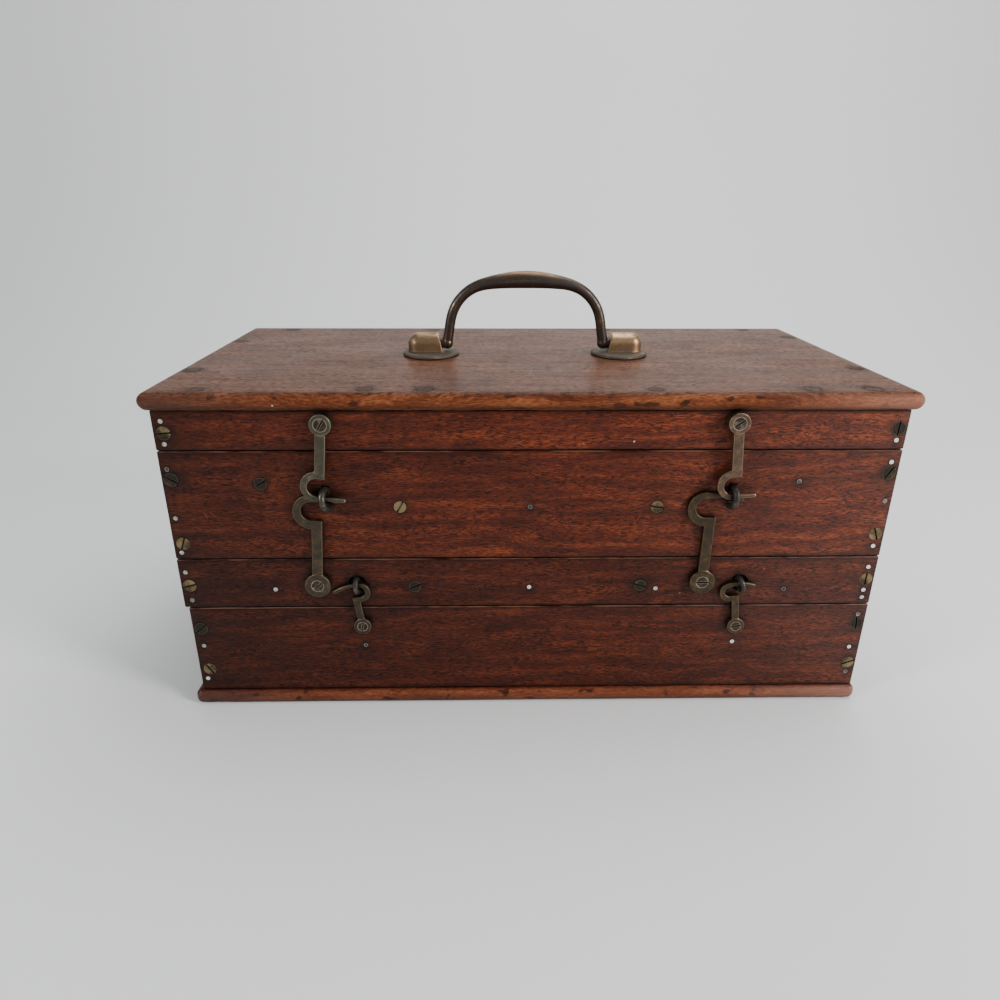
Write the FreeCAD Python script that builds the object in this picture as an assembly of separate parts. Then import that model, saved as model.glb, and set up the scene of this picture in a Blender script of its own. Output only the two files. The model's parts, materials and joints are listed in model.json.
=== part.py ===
import FreeCAD, Part
import math
import os

# A stacking carpenter's box: a bottom tray on a nosed base board, a shallow middle tray, a deep upper
# tray and a framed lid with a drop handle. The tiers are hinged together along the back, and pairs of
# brass cabin hooks hold them shut along the front.
#
# Millimetres. X runs along the box, -Y is the front, +Z is up. The origin is the middle of the
# underside of the base board.

os.makedirs("parts", exist_ok=True)

V = FreeCAD.Vector
ORIGIN = V(0, 0, 0)
X_AXIS = V(1, 0, 0)
Y_AXIS = V(0, 1, 0)
Z_AXIS = V(0, 0, 1)
FRONT = V(0, -1, 0)
BACK = V(0, 1, 0)
UP = V(0, 0, 1)
DOWN = V(0, 0, -1)

# ---------------------------------------------------------------- driving sizes: carcase
BODY_LENGTH = 372.0
BODY_DEPTH = 185.5
WALL = 9.5
TIER_GAP = 0.3
BASE_THICK = 9.0
BASE_OVERHANG = 2.3
BASE_ROUND = 3.6
BOTTOM_HEIGHT = 53.0
BOTTOM_LEFT_INSET = 2.0
MIDDLE_HEIGHT = 28.8
UPPER_HEIGHT = 59.4
RIM_HEIGHT = 20.7
LID_THICK = 9.0
LID_OVERHANG = 4.5
LID_ROUND = 4.4
EASE = 0.5
FLOOR_THICK = 3.5
FLOOR_RAISE = 3.0
GROOVE_DEPTH = 3.0
DIVIDER_THICK = 6.0
DIVIDER_BELOW_TOP = 1.5

# ---------------------------------------------------------------- levels and faces
BOTTOM_Z = (BASE_THICK, BASE_THICK + BOTTOM_HEIGHT)
MIDDLE_Z = (BOTTOM_Z[1] + TIER_GAP, BOTTOM_Z[1] + TIER_GAP + MIDDLE_HEIGHT)
UPPER_Z = (MIDDLE_Z[1] + TIER_GAP, MIDDLE_Z[1] + TIER_GAP + UPPER_HEIGHT)
RIM_Z = (UPPER_Z[1] + TIER_GAP, UPPER_Z[1] + TIER_GAP + RIM_HEIGHT)
LID_Z = (RIM_Z[1], RIM_Z[1] + LID_THICK)
BODY_X = (-BODY_LENGTH / 2, BODY_LENGTH / 2)
BOTTOM_X = (BODY_X[0] + BOTTOM_LEFT_INSET, BODY_X[1])
FACE_Y = -BODY_DEPTH / 2
BACK_Y = BODY_DEPTH / 2
WALL_MIDDLE = WALL / 2

# ---------------------------------------------------------------- fasteners
CORNER_SCREW = {"head": 7.0, "shank": 3.6, "length": 25.0}
SHELF_SCREW = {"head": 6.4, "shank": 3.2, "length": 24.0}
LID_SCREW = {"head": 6.0, "shank": 3.2, "length": 20.0}
BIG_PIVOT_SCREW = {"head": 6.8, "shank": 3.6, "length": 13.6}
LONG_PIVOT_SCREW = {"head": 6.8, "shank": 3.4, "length": 12.4}
SMALL_PIVOT_SCREW = {"head": 5.8, "shank": 3.0, "length": 11.4}
HINGE_SCREW = {"head": 4.2, "shank": 2.0, "length": 9.0}
SCREW_POINT = 3.0
SLOT_WIDTH = 0.9
SLOT_DEPTH = 0.9
HOLE_ROOM = 0.05
NAIL_RADIUS = 1.15
NAIL_LENGTH = 22.0
BRAD_LENGTH = 8.0
PLUG_RADIUS = 4.0
PLUG_THICK = 3.0

# ---------------------------------------------------------------- hinges
HINGE_X = (-120.0, 120.0)
HINGE_LENGTH = 38.0
HINGE_OUT = 1.5
KNUCKLE_RADIUS = 2.5
KNUCKLE_ROOM = 0.15
PIN_RADIUS = 1.25
LEAF_THICK = 1.4
LEAF_WIDTH = 7.6
HINGE_SCREW_OFFSETS = (-12.0, 12.0)
HINGE_SCREW_INSET = 3.9
HINGE_Y = BACK_Y + HINGE_OUT

# ---------------------------------------------------------------- hooks and eyes
# A hook lies flat against the front. u runs from its pivot along the shank and v runs towards the side
# where its crescent bulges. The crescent is an outer circle less an inner circle that is nudged along u,
# so that the metal thins towards the tip, and a neck narrows its end down to the round tip.
BIG_HOOK = {
    "ring": 5.4, "width": 5.2, "outer": 8.1, "inner": 4.1, "taper": 0.5, "side": 1.5,
    "neck": 2.2, "tip": 1.15,
}
LONG_HOOK = {
    "ring": 6.8, "width": 5.6, "outer": 9.4, "inner": 4.6, "taper": 0.5, "side": 2.9,
    "neck": 5.5, "tip": 1.15,
}
SMALL_HOOK = {
    "ring": 4.7, "width": 3.9, "outer": 5.6, "inner": 2.4, "taper": 0.3, "side": 2.7,
    "neck": 2.0, "tip": 1.15,
}
HOOK_EDGE = 0.55
NECK_ROOT = 0.6
NECK_EASE = 0.05
NEAR_LAYER = (0.3, 2.7)
FAR_LAYER = (3.0, 5.4)
BOSS_RISE = 0.5
PIVOT_SCREW_SINK = 0.1
BIG_EYE = {"hole": 3.1, "wire": 1.7, "out": 2.85, "depth": 9.0, "recess": 7.4, "recess_depth": 4.0}
SMALL_EYE = {"hole": 2.25, "wire": 1.35, "out": 1.8, "depth": 8.0, "recess": 4.9, "recess_depth": 3.0}
EYE_GROOVE = 0.35
LEFT_EYE = (-104.7, 126.2)
RIGHT_EYE = (102.3, 126.9)
SMALL_LEFT_EYE = (-92.3, 76.3)
SMALL_RIGHT_EYE = (112.6, 76.0)
# How each hook hangs: where its pivot is, how far the tip's centre line lies from the pivot, where the tip
# ends (v, u), which way the shank points (degrees from straight up) and how its pivot screw's slot lies.
UPPER_LEFT = {
    "hook": BIG_HOOK, "layer": FAR_LAYER, "screw": BIG_PIVOT_SCREW, "mirrored": False, "curved": False,
    "pivot": (-103.2, 165.7), "reach": 38.8, "tip_end": (-12.2, 38.7), "turn": 185.7, "slot": 58.0,
}
UPPER_RIGHT = {
    "hook": BIG_HOOK, "layer": FAR_LAYER, "screw": BIG_PIVOT_SCREW, "mirrored": False, "curved": False,
    "pivot": (99.7, 166.2), "reach": 38.7, "tip_end": (-9.4, 38.7), "turn": 175.6, "slot": 35.0,
}
LOWER_LEFT = {
    "hook": LONG_HOOK, "layer": NEAR_LAYER, "screw": LONG_PIVOT_SCREW, "mirrored": True, "curved": True,
    "pivot": (-112.8, 76.7), "reach": 49.6, "tip_end": (-9.5, 48.8), "turn": 4.3, "slot": 36.0,
}
LOWER_RIGHT = {
    "hook": LONG_HOOK, "layer": NEAR_LAYER, "screw": LONG_PIVOT_SCREW, "mirrored": True, "curved": True,
    "pivot": (91.7, 77.7), "reach": 49.6, "tip_end": (-15.0, 47.4), "turn": 0.5, "slot": 0.0,
}
SMALL_LEFT = {
    "hook": SMALL_HOOK, "layer": NEAR_LAYER, "screw": SMALL_PIVOT_SCREW, "mirrored": False, "curved": True,
    "pivot": (-90.7, 51.6), "reach": 24.6, "tip_end": (-10.3, 22.5), "turn": -8.3, "slot": 78.0,
}
SMALL_RIGHT = {
    "hook": SMALL_HOOK, "layer": NEAR_LAYER, "screw": SMALL_PIVOT_SCREW, "mirrored": True, "curved": True,
    "pivot": (113.1, 50.3), "reach": 25.6, "tip_end": (-10.0, 23.7), "turn": -7.5, "slot": 12.0,
}

# ---------------------------------------------------------------- handle
HANDLE_AXIS_RISE = 6.4
BAIL_HALF_WIDTH = 46.2
BAIL_LEG_LEAN = 2.2
BAIL_LEG_TOP = 13.1
BAIL_CORNER = 25.5
BAIL_CROWN_TILT = 12.0
BAIL_LEG_RADIUS = 3.0
BAIL_GRIP_RADIUS = 4.9
BAIL_SWELL = (1.5, 3.0)
BAIL_FOOT_RADIUS = 2.9
BAIL_FOOT_LENGTH = 14.0
BAIL_KNEE_RADIUS = 3.4
BAIL_ROOM = 0.4
LUG_CENTRE = 56.0
LUG_FLANGE = (16.5, 19.5, 1.9)
LUG_FLANGE_ROUND = 1.2
LUG_BARREL_RADIUS = 6.3
LUG_BARREL = (48.2, 63.0)
LUG_SLOPE = 3.2
LUG_STUD_RADIUS = 2.0
LUG_STUD_Y = 12.0
LUG_STUD_BELOW = 5.0
LUG_NUT = (7.0, 3.0)


# ---------------------------------------------------------------- helpers
def block(x, y, z):
    """A box that spans three (low, high) pairs."""
    return Part.makeBox(x[1] - x[0], y[1] - y[0], z[1] - z[0], V(x[0], y[0], z[0]))


def eased(shape, radius):
    """The shape with every edge rounded."""
    return shape.makeFillet(radius, shape.Edges)


def rod(radius, start, end):
    """A round bar between two points."""
    along = end - start
    return Part.makeCylinder(radius, along.Length, start, along)


def placed(shape, point, outward, spin=0.0):
    """A shape modelled along +Z, turned by spin about itself and set to point outward from a point."""
    turned = shape.copy()
    turned.rotate(ORIGIN, Z_AXIS, spin)
    aim = FreeCAD.Placement(point, FreeCAD.Rotation(Z_AXIS, outward))
    turned.Placement = aim.multiply(turned.Placement)
    return turned


def less(shape, cutters):
    """The shape with those cutters taken out that reach it."""
    near = [c for c in cutters if c.BoundBox.intersect(shape.BoundBox)]
    if not near:
        return shape
    return shape.cut(near)


def save(name, *solids):
    """Writes one named node, holding one or more separate solids."""
    shape = solids[0] if len(solids) == 1 else Part.makeCompound(list(solids))
    shape.exportStep("parts/" + name + ".step")


# ---------------------------------------------------------------- screws, nails and plugs
def screw_body(size, room=0.0, cover=0.0):
    """A countersunk screw pointing down from its head's face at the origin. room fattens it into the
    hole it needs, and cover carries that hole up past the head's face."""
    head = size["head"] / 2 + room
    shank = size["shank"] / 2 + room
    cone = head - shank
    length = size["length"] + room
    outline = [
        V(0, 0, cover),
        V(head, 0, cover),
        V(head, 0, 0),
        V(shank, 0, -cone),
        V(shank, 0, SCREW_POINT - length),
        V(0, 0, -length),
    ]
    if cover == 0.0:
        outline = outline[:1] + outline[2:]
    face = Part.Face(Part.makePolygon(outline + outline[:1]))
    return face.revolve(ORIGIN, Z_AXIS, 360)


def slotted_screw(size):
    """The screw with its driver slot."""
    reach = size["head"]
    slot = block((-reach, reach), (-SLOT_WIDTH / 2, SLOT_WIDTH / 2), (-SLOT_DEPTH, 1.0))
    return screw_body(size).cut(slot)


def screw_set(size, spots, outward, cover=1.0):
    """Screws and their holes at spots of (point, slot angle)."""
    screw = slotted_screw(size)
    hole = screw_body(size, HOLE_ROOM, cover)
    solids = [placed(screw, point, outward, spin) for point, spin in spots]
    holes = [placed(hole, point, outward) for point, spin in spots]
    return solids, holes


def nail_set(spots, outward, length=NAIL_LENGTH):
    """Round wire nails driven flush, and their holes."""
    solids = []
    holes = []
    for point in spots:
        end = point - outward * length
        solids.append(rod(NAIL_RADIUS, point, end))
        holes.append(rod(NAIL_RADIUS + HOLE_ROOM, point + outward, end - outward * HOLE_ROOM))
    return solids, holes


def on_face(x, z, spin=0.0):
    """A screw's spot on the front face."""
    return V(x, FACE_Y, z), spin


def on_back(x, z, spin=0.0):
    """A screw's spot on the back face."""
    return V(x, BACK_Y, z), spin


def face_nails(nail_places, brad_places):
    """Long nails into end grain and short brads into the front board alone, from (x, z) places."""
    nails, nail_holes = nail_set([V(x, FACE_Y, z) for x, z in nail_places], FRONT)
    brads, brad_holes = nail_set([V(x, FACE_Y, z) for x, z in brad_places], FRONT, BRAD_LENGTH)
    return nails + brads, nail_holes + brad_holes


# ---------------------------------------------------------------- carcase boards
def nosed_board(overhang, z, radius):
    """A flat board that overhangs the carcase and has rounded edges all round."""
    x = (BODY_X[0] - overhang, BODY_X[1] + overhang)
    return eased(block(x, (FACE_Y - overhang, BACK_Y + overhang), z), radius)


def frame_boards(x, z):
    """Four boards on edge: front and back run the full length, and the ends fit between them."""
    inner_y = (FACE_Y + WALL, BACK_Y - WALL)
    return {
        "front": eased(block(x, (FACE_Y, FACE_Y + WALL), z), EASE),
        "back": eased(block(x, (BACK_Y - WALL, BACK_Y), z), EASE),
        "left": eased(block((x[0], x[0] + WALL), inner_y, z), EASE),
        "right": eased(block((x[1] - WALL, x[1]), inner_y, z), EASE),
    }


def floor_block(x, z_low, room=0.0):
    """A thin floor whose edges sit in grooves round the inside of a tray."""
    side = WALL - GROOVE_DEPTH - room
    z = (z_low + FLOOR_RAISE - room, z_low + FLOOR_RAISE + FLOOR_THICK + room)
    return block((x[0] + side, x[1] - side), (FACE_Y + side, BACK_Y - side), z)


def dividers(places, z):
    """Cross dividers standing on a tray's floor from front to back."""
    low = z[0] + FLOOR_RAISE + FLOOR_THICK
    high = z[1] - DIVIDER_BELOW_TOP
    half = DIVIDER_THICK / 2
    inner_y = (FACE_Y + WALL, BACK_Y - WALL)
    return [eased(block((x - half, x + half), inner_y, (low, high)), EASE) for x in places]


def save_boards(tier, kind, boards, cutters):
    """Cuts the holes in a tier's four boards and writes them."""
    for side, board in boards.items():
        save(tier + "_" + side + "_" + kind, less(board, cutters))


# ---------------------------------------------------------------- hinges
def knuckle_spans(x):
    """The hinge's three knuckles along X: the lower leaf has the outer two, the upper leaf the middle."""
    third = HINGE_LENGTH / 3
    low = x - HINGE_LENGTH / 2
    outer = [(low, low + third - KNUCKLE_ROOM), (low + 2 * third + KNUCKLE_ROOM, low + 3 * third)]
    return outer, [(low + third + KNUCKLE_ROOM, low + 2 * third - KNUCKLE_ROOM)]


def barrel(span, z, radius, room=0.0):
    """A length of the hinge's barrel."""
    return rod(radius, V(span[0] - room, HINGE_Y, z), V(span[1] + room, HINGE_Y, z))


def leaf(x, z, side, own, other):
    """One leaf of a butt hinge, side +1 for the leaf above the joint and -1 for the one below."""
    near = z + side * TIER_GAP / 2
    heights = sorted((near, near + side * LEAF_THICK))
    ends = (x - HINGE_LENGTH / 2, x + HINGE_LENGTH / 2)
    plate = block(ends, (BACK_Y - LEAF_WIDTH, HINGE_Y), heights)
    whole = plate.fuse([barrel(span, z, KNUCKLE_RADIUS) for span in own])
    room = [barrel(span, z, KNUCKLE_RADIUS + KNUCKLE_ROOM, 2 * KNUCKLE_ROOM) for span in other]
    return whole.cut(room + [barrel(ends, z, PIN_RADIUS + HOLE_ROOM, 1.0)])


def leaf_room(x, z, side):
    """What a back board gives up for a leaf: a flat mortise and a round relief for the knuckles."""
    near = z + side * TIER_GAP / 2
    heights = sorted((near - side * TIER_GAP, near + side * LEAF_THICK))
    ends = (x - HINGE_LENGTH / 2, x + HINGE_LENGTH / 2)
    mortise = block(ends, (BACK_Y - LEAF_WIDTH, BACK_Y + 1.0), heights)
    return [mortise, barrel(ends, z, KNUCKLE_RADIUS + 2 * KNUCKLE_ROOM, KNUCKLE_ROOM)]


def hinge_joint(z):
    """Both hinges of one tier joint. Returns the leaves, pins, screws and cuts below and above it."""
    below = {"leaves": [], "screws": [], "cuts": []}
    above = {"leaves": [], "screws": [], "cuts": []}
    pins = []
    for x in HINGE_X:
        outer, middle = knuckle_spans(x)
        pins.append(barrel((outer[0][0], outer[1][1]), z, PIN_RADIUS))
        for part, side, own, other in ((below, -1, outer, middle), (above, 1, middle, outer)):
            face = z + side * TIER_GAP / 2
            y = BACK_Y - HINGE_SCREW_INSET
            spots = [(V(x + dx, y, face), 37.0 * dx) for dx in HINGE_SCREW_OFFSETS]
            outward = UP if side < 0 else DOWN
            screws, holes = screw_set(HINGE_SCREW, spots, outward, TIER_GAP / 2)
            part["leaves"].append(leaf(x, z, side, own, other).cut(holes))
            part["screws"] += screws
            part["cuts"] += leaf_room(x, z, side) + holes
    return below, above, pins


# ---------------------------------------------------------------- hooks and eyes
def hook_tip(shape, reach, mid_y, tip_end, curved):
    """The round tip that passes through an eye and ends at tip_end (v, u): straight, or curved about
    the pivot at the tip end's distance."""
    radius = shape["tip"]
    end = V(tip_end[0], mid_y, tip_end[1])
    ball = Part.makeSphere(radius, end)
    if not curved:
        return rod(radius, V(shape["side"], mid_y, reach), end).fuse(ball)
    swing = math.hypot(tip_end[0], tip_end[1])
    start = V(shape["side"], mid_y, math.sqrt(swing**2 - shape["side"] ** 2))
    sweep = math.degrees(math.asin(shape["side"] / swing) - math.asin(tip_end[0] / swing))
    section = Part.Face(Part.Wire(Part.makeCircle(radius, start, X_AXIS)))
    return section.revolve(V(0, mid_y, 0), Y_AXIS, -sweep).fuse(ball)


def hook_neck(shape, reach, deep):
    """The flat wedge between a crescent's end and its thin tip, rooted a little way inside the crescent."""
    half = (shape["outer"] - shape["inner"]) / 2 - shape["taper"] - NECK_EASE
    start = shape["side"] + NECK_ROOT
    end = shape["side"] - shape["neck"]
    thin = shape["tip"]
    outline = [(start, reach - half), (start, reach + half), (end, reach + thin), (end, reach - thin)]
    corners = [V(x, deep[0], z) for x, z in outline]
    return Part.Face(Part.makePolygon(corners + corners[:1])).extrude(V(0, deep[1] - deep[0], 0))


def flat_hook(shape, reach, layer, tip_end, curved):
    """A hook with its pivot at the origin, shank along +Z, crescent bulging to +X, flat behind -Y."""
    far_edge = shape["inner"] + 2 * shape["taper"]
    centre = reach - (shape["outer"] + far_edge) / 2
    low, high = -layer[1], -layer[0]
    deep = high - low
    half = shape["width"] / 2
    side = shape["side"]
    outer = Part.makeCylinder(shape["outer"], deep, V(side, low, centre), Y_AXIS)
    inner_radius = shape["inner"] + shape["taper"]
    inner = Part.makeCylinder(inner_radius, deep, V(side, low, centre + shape["taper"]), Y_AXIS)
    reach_out = 2 * shape["outer"]
    bulge = block((side, side + reach_out), (low, high), (centre - reach_out, centre + reach_out))
    shank = block((-half, half), (low, high), (0, centre - shape["inner"]))
    pieces = [outer.cut(inner).common(bulge)]
    if side > half:
        pieces.append(block((half, side), (low, high), (centre - shape["outer"], centre - shape["inner"])))
    pieces.append(hook_neck(shape, reach, (low, high)))
    plate = shank.fuse(pieces).removeSplitter()
    rim = [e for e in plate.Edges if all(abs(v.Point.y - low) < 0.01 for v in e.Vertexes)]
    plate = plate.makeFillet(HOOK_EDGE, rim)
    boss_face = low - BOSS_RISE
    boss = Part.makeCylinder(shape["ring"], -NEAR_LAYER[0] - boss_face, V(0, boss_face, 0), Y_AXIS)
    boss = boss.makeFillet(HOOK_EDGE, [e for e in boss.Edges if abs(e.CenterOfMass.y - boss_face) < 0.01])
    tip = hook_tip(shape, reach, (low + high) / 2, tip_end, curved)
    return plate.fuse([boss, tip])


def hung_hook(hang):
    """A hook turned about its pivot and hung on the front, with its pivot screw and that screw's hole."""
    layer = hang["layer"]
    x, z = hang["pivot"]
    hook = flat_hook(hang["hook"], hang["reach"], layer, hang["tip_end"], hang["curved"])
    if hang["mirrored"]:
        hook = hook.mirror(ORIGIN, X_AXIS)
    hook.rotate(ORIGIN, Y_AXIS, hang["turn"])
    hook.translate(V(x, FACE_Y, z))
    head = V(x, FACE_Y - layer[1] - BOSS_RISE + PIVOT_SCREW_SINK, z)
    screws, holes = screw_set(hang["screw"], [(head, hang["slot"])], FRONT)
    return hook.cut(holes), screws[0], holes[0]


def screw_eye(size, place):
    """An eye whose ring stands across the front, half sunk in a recess, and its two cuts."""
    middle = V(place[0], FACE_Y - size["out"], place[1])
    ring_radius = size["hole"] + size["wire"]
    ring = Part.makeTorus(ring_radius, size["wire"], middle, X_AXIS)
    groove = Part.makeTorus(ring_radius + size["wire"], EYE_GROOVE, middle, X_AXIS)
    root = middle + V(0, ring_radius, 0)
    end = V(place[0], FACE_Y + size["depth"], place[1])
    eye = ring.cut(groove).fuse(rod(size["wire"] - HOLE_ROOM, root, end))
    hole = rod(size["wire"], root, end + V(0, HOLE_ROOM, 0))
    mouth = V(place[0], FACE_Y - 1.0, place[1])
    recess = rod(size["recess"], mouth, mouth + V(0, 1.0 + size["recess_depth"], 0))
    return eye, [hole, recess]


# ---------------------------------------------------------------- handle
def bail_centre(side, t):
    """A point on the bail's centre line. t runs 0 to 1 up the leg, 1 to 2 round the corner and 2 to 3
    along the crown to the middle of the grip."""
    z0 = LID_Z[1] + HANDLE_AXIS_RISE
    lean = BAIL_LEG_LEAN / BAIL_LEG_TOP
    leg_top = V(BAIL_HALF_WIDTH - BAIL_LEG_LEAN, 0, BAIL_LEG_TOP)
    tilt = math.atan(lean)
    if t <= 1:
        local = V(BAIL_HALF_WIDTH - BAIL_LEG_LEAN * t, 0, BAIL_LEG_TOP * t)
    else:
        crown_tilt = math.radians(BAIL_CROWN_TILT)
        hub = leg_top + V(-math.cos(tilt), 0, -math.sin(tilt)) * BAIL_CORNER
        sweep = math.pi / 2 - crown_tilt - tilt
        angle = tilt + sweep * min(t - 1, 1)
        local = hub + V(math.cos(angle), 0, math.sin(angle)) * BAIL_CORNER
        if t > 2:
            start = local
            crown = start.x / math.sin(crown_tilt)
            phi = crown_tilt * (3 - t)
            local = V(crown * math.sin(phi), 0, start.z + crown * (math.cos(phi) - math.cos(crown_tilt)))
    return V(side * local.x, 0, z0 + local.z)


def bail_radius(t):
    """The bail swells smoothly from its legs to the middle of the grip."""
    start, end = BAIL_SWELL
    share = min(max((t - start) / (end - start), 0.0), 1.0)
    ease = share * share * (3 - 2 * share)
    return BAIL_LEG_RADIUS + (BAIL_GRIP_RADIUS - BAIL_LEG_RADIUS) * ease


def bail_handle():
    """The bail: a swelled round bar, with each foot turned outwards into its lug."""
    steps = [0.0, 0.5, 1.0, 1.25, 1.5, 1.75, 2.0, 2.33, 2.67, 3.0]
    stations = [(1, t) for t in steps] + [(-1, t) for t in reversed(steps[:-1])]
    rings = []
    for side, t in stations:
        here = bail_centre(side, t)
        ahead = bail_centre(side, min(t + 0.02, 3.0))
        behind = bail_centre(side, max(t - 0.02, 0.0))
        along = (ahead - behind) * side if t < 3.0 else V(-1, 0, 0)
        rings.append(Part.Wire(Part.makeCircle(bail_radius(t), here, along)))
    bail = Part.makeLoft(rings, True, False)
    feet = []
    for side in (1, -1):
        knee = bail_centre(side, 0.0)
        toe = knee + V(side * BAIL_FOOT_LENGTH, 0, 0)
        feet += [Part.makeSphere(BAIL_KNEE_RADIUS, knee), rod(BAIL_FOOT_RADIUS, knee, toe)]
    return bail.fuse(feet)


def lug_slope(start, top):
    """The wedge cut off a lug's inner end, so that it leans away from the bail."""
    half = 2 * LUG_BARREL_RADIUS
    foot = V(start - 1, -half, LID_Z[1])
    corners = [foot, foot + V(1, 0, 0), V(start + LUG_SLOPE, -half, top + 1), V(start - 1, -half, top + 1)]
    return Part.Face(Part.makePolygon(corners + [foot])).extrude(V(0, 2 * half, 0))


def handle_lug(side):
    """A cast lug: an oval flange on the lid, a barrel round the bail's foot and two studs below."""
    base = LID_Z[1]
    long_axis = Part.Ellipse(V(0, LUG_FLANGE[1], 0), V(LUG_FLANGE[0], 0, 0), ORIGIN)
    flange = Part.Face(Part.Wire(long_axis.toShape())).extrude(V(0, 0, LUG_FLANGE[2]))
    rim = [e for e in flange.Edges if e.CenterOfMass.z > LUG_FLANGE[2] - 0.01]
    flange = flange.makeFillet(LUG_FLANGE_ROUND, rim)
    flange.translate(V(LUG_CENTRE, 0, base))
    axis_z = base + HANDLE_AXIS_RISE
    start, turn = LUG_BARREL
    radius = LUG_BARREL_RADIUS
    barrel_parts = [
        rod(radius, V(start, 0, axis_z), V(turn, 0, axis_z)),
        Part.makeSphere(radius, V(turn, 0, axis_z)),
        block((start, turn), (-radius, radius), (base, axis_z)),
        rod(radius, V(turn, 0, base), V(turn, 0, axis_z)),
    ]
    dome = barrel_parts[0].fuse(barrel_parts[1:]).removeSplitter().cut(lug_slope(start, axis_z + radius))
    toe = BAIL_HALF_WIDTH + BAIL_FOOT_LENGTH
    bore = rod(BAIL_FOOT_RADIUS + HOLE_ROOM, V(start - radius, 0, axis_z), V(toe + BAIL_ROOM, 0, axis_z))
    knee_room = Part.makeSphere(BAIL_KNEE_RADIUS + BAIL_ROOM, V(BAIL_HALF_WIDTH, 0, axis_z))
    swing = BAIL_LEG_TOP + BAIL_CORNER
    leg_ends = [V(BAIL_HALF_WIDTH, y, axis_z) for y in (-swing, swing)]
    leg_room = rod(BAIL_LEG_RADIUS + BAIL_ROOM, *leg_ends)
    studs = [rod(LUG_STUD_RADIUS, V(LUG_CENTRE, y, RIM_Z[1] - LUG_STUD_BELOW), V(LUG_CENTRE, y, base + 1.0))
             for y in (-LUG_STUD_Y, LUG_STUD_Y)]
    lug = flange.fuse([dome] + studs).cut([bore, knee_room, leg_room])
    return lug if side > 0 else lug.mirror(ORIGIN, X_AXIS)


def stud_points():
    """Where the lugs' studs pass through the lid."""
    return [(side * LUG_CENTRE, y) for side in (-1, 1) for y in (-LUG_STUD_Y, LUG_STUD_Y)]


def lug_nuts():
    """Square nuts that hold the lugs' studs under the lid."""
    half = LUG_NUT[0] / 2
    z = (RIM_Z[1] - LUG_NUT[1], RIM_Z[1])
    nuts = []
    for x, y in stud_points():
        nut = eased(block((x - half, x + half), (y - half, y + half), z), EASE)
        nuts.append(nut.cut(rod(LUG_STUD_RADIUS + HOLE_ROOM, V(x, y, z[0] - 1), V(x, y, z[1] + 1))))
    return nuts


# ---------------------------------------------------------------- fastener places
# The end boards' end grain is where corner screws and nails bite.
LEFT_X = BODY_X[0] + WALL_MIDDLE
RIGHT_X = BODY_X[1] - WALL_MIDDLE
BOTTOM_LEFT_X = BOTTOM_X[0] + WALL_MIDDLE
UPPER_DIVIDERS = (-137.0, -67.5, -1.0, 64.5, 136.0)
MIDDLE_DIVIDERS = (-136.0, -61.7, -0.6, 59.2, 137.5)

BOTTOM_SCREWS = [on_face(BOTTOM_LEFT_X, 48.9, 40), on_face(BOTTOM_LEFT_X + 1, 22.8, 120),
                 on_face(RIGHT_X, 50.0, 95), on_face(RIGHT_X, 24.2, 20)]
BOTTOM_NAILS = [(BOTTOM_LEFT_X - 1, 16.5), (BOTTOM_LEFT_X, 38.0), (RIGHT_X, 55.6), (RIGHT_X - 1, 34.5),
                (RIGHT_X, 17.8)]
BOTTOM_BRADS = [(113.5, 38.5), (-90.3, 37.8)]
MIDDLE_SCREWS = [on_face(LEFT_X, 75.6, 15), on_face(RIGHT_X, 77.6, 90)]
MIDDLE_SHELF_SCREWS = [on_face(MIDDLE_DIVIDERS[1], 74.4, 25), on_face(MIDDLE_DIVIDERS[3], 74.4, 165)]
MIDDLE_NAILS = [(LEFT_X - 1, 83.6), (LEFT_X, 66.8), (RIGHT_X, 84.9), (RIGHT_X, 70.9), (RIGHT_X, 66.3),
                (MIDDLE_DIVIDERS[0], 73.1), (MIDDLE_DIVIDERS[2], 73.8), (MIDDLE_DIVIDERS[4], 71.7)]
MIDDLE_BRADS = [(67.7, 72.5)]
UPPER_SCREWS = [on_face(LEFT_X, 135.8, 150), on_face(LEFT_X + 0.5, 100.3, 70),
                on_face(RIGHT_X, 138.6, 60), on_face(RIGHT_X, 104.4, 110)]
UPPER_SHELF_SCREWS = [on_face(UPPER_DIVIDERS[1], 120.7, 60), on_face(UPPER_DIVIDERS[3], 120.2, 170),
                      on_face(UPPER_DIVIDERS[0], 133.6, 30)]
UPPER_NAILS = [(LEFT_X - 1, 141.4), (LEFT_X - 1, 114.8), (LEFT_X - 1, 95.2), (RIGHT_X, 144.4),
               (RIGHT_X + 1, 123.1), (RIGHT_X, 97.4), (UPPER_DIVIDERS[2], 120.5), (UPPER_DIVIDERS[4], 134.1)]
RIM_SCREWS = [on_face(LEFT_X + 0.5, 160.1, 5), on_face(RIGHT_X, 162.0, 88)]
RIM_NAILS = [(LEFT_X, 166.2), (LEFT_X, 154.5), (RIGHT_X, 156.0)]
LID_FRONT_PLUGS = (-164.0, -82.0, -53.4, 59.8, 137.0, 167.3)
LID_BACK_PLUGS = (-160.0, -60.0, 60.0, 160.0)
LID_END_PLUGS = ((LEFT_X, -44.8), (LEFT_X, 41.7), (RIGHT_X, -39.8), (RIGHT_X, 58.2))
BASE_SCREW_X = (-150.0, -50.0, 50.0, 150.0)
BASE_SCREW_Y = (-40.0, 40.0)
BOTTOM_BACK_HEIGHTS = (22.0, 42.0)
MIDDLE_BACK_HEIGHTS = (76.5,)
UPPER_BACK_HEIGHTS = (104.0, 137.0)
RIM_BACK_HEIGHTS = (161.0,)


def corner_backs(x, heights):
    """The back corners' screws, at both ends and at these heights."""
    places = [(end, z) for end in x for z in heights]
    return [on_back(end, z, 50.0 * i) for i, (end, z) in enumerate(places)]


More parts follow.
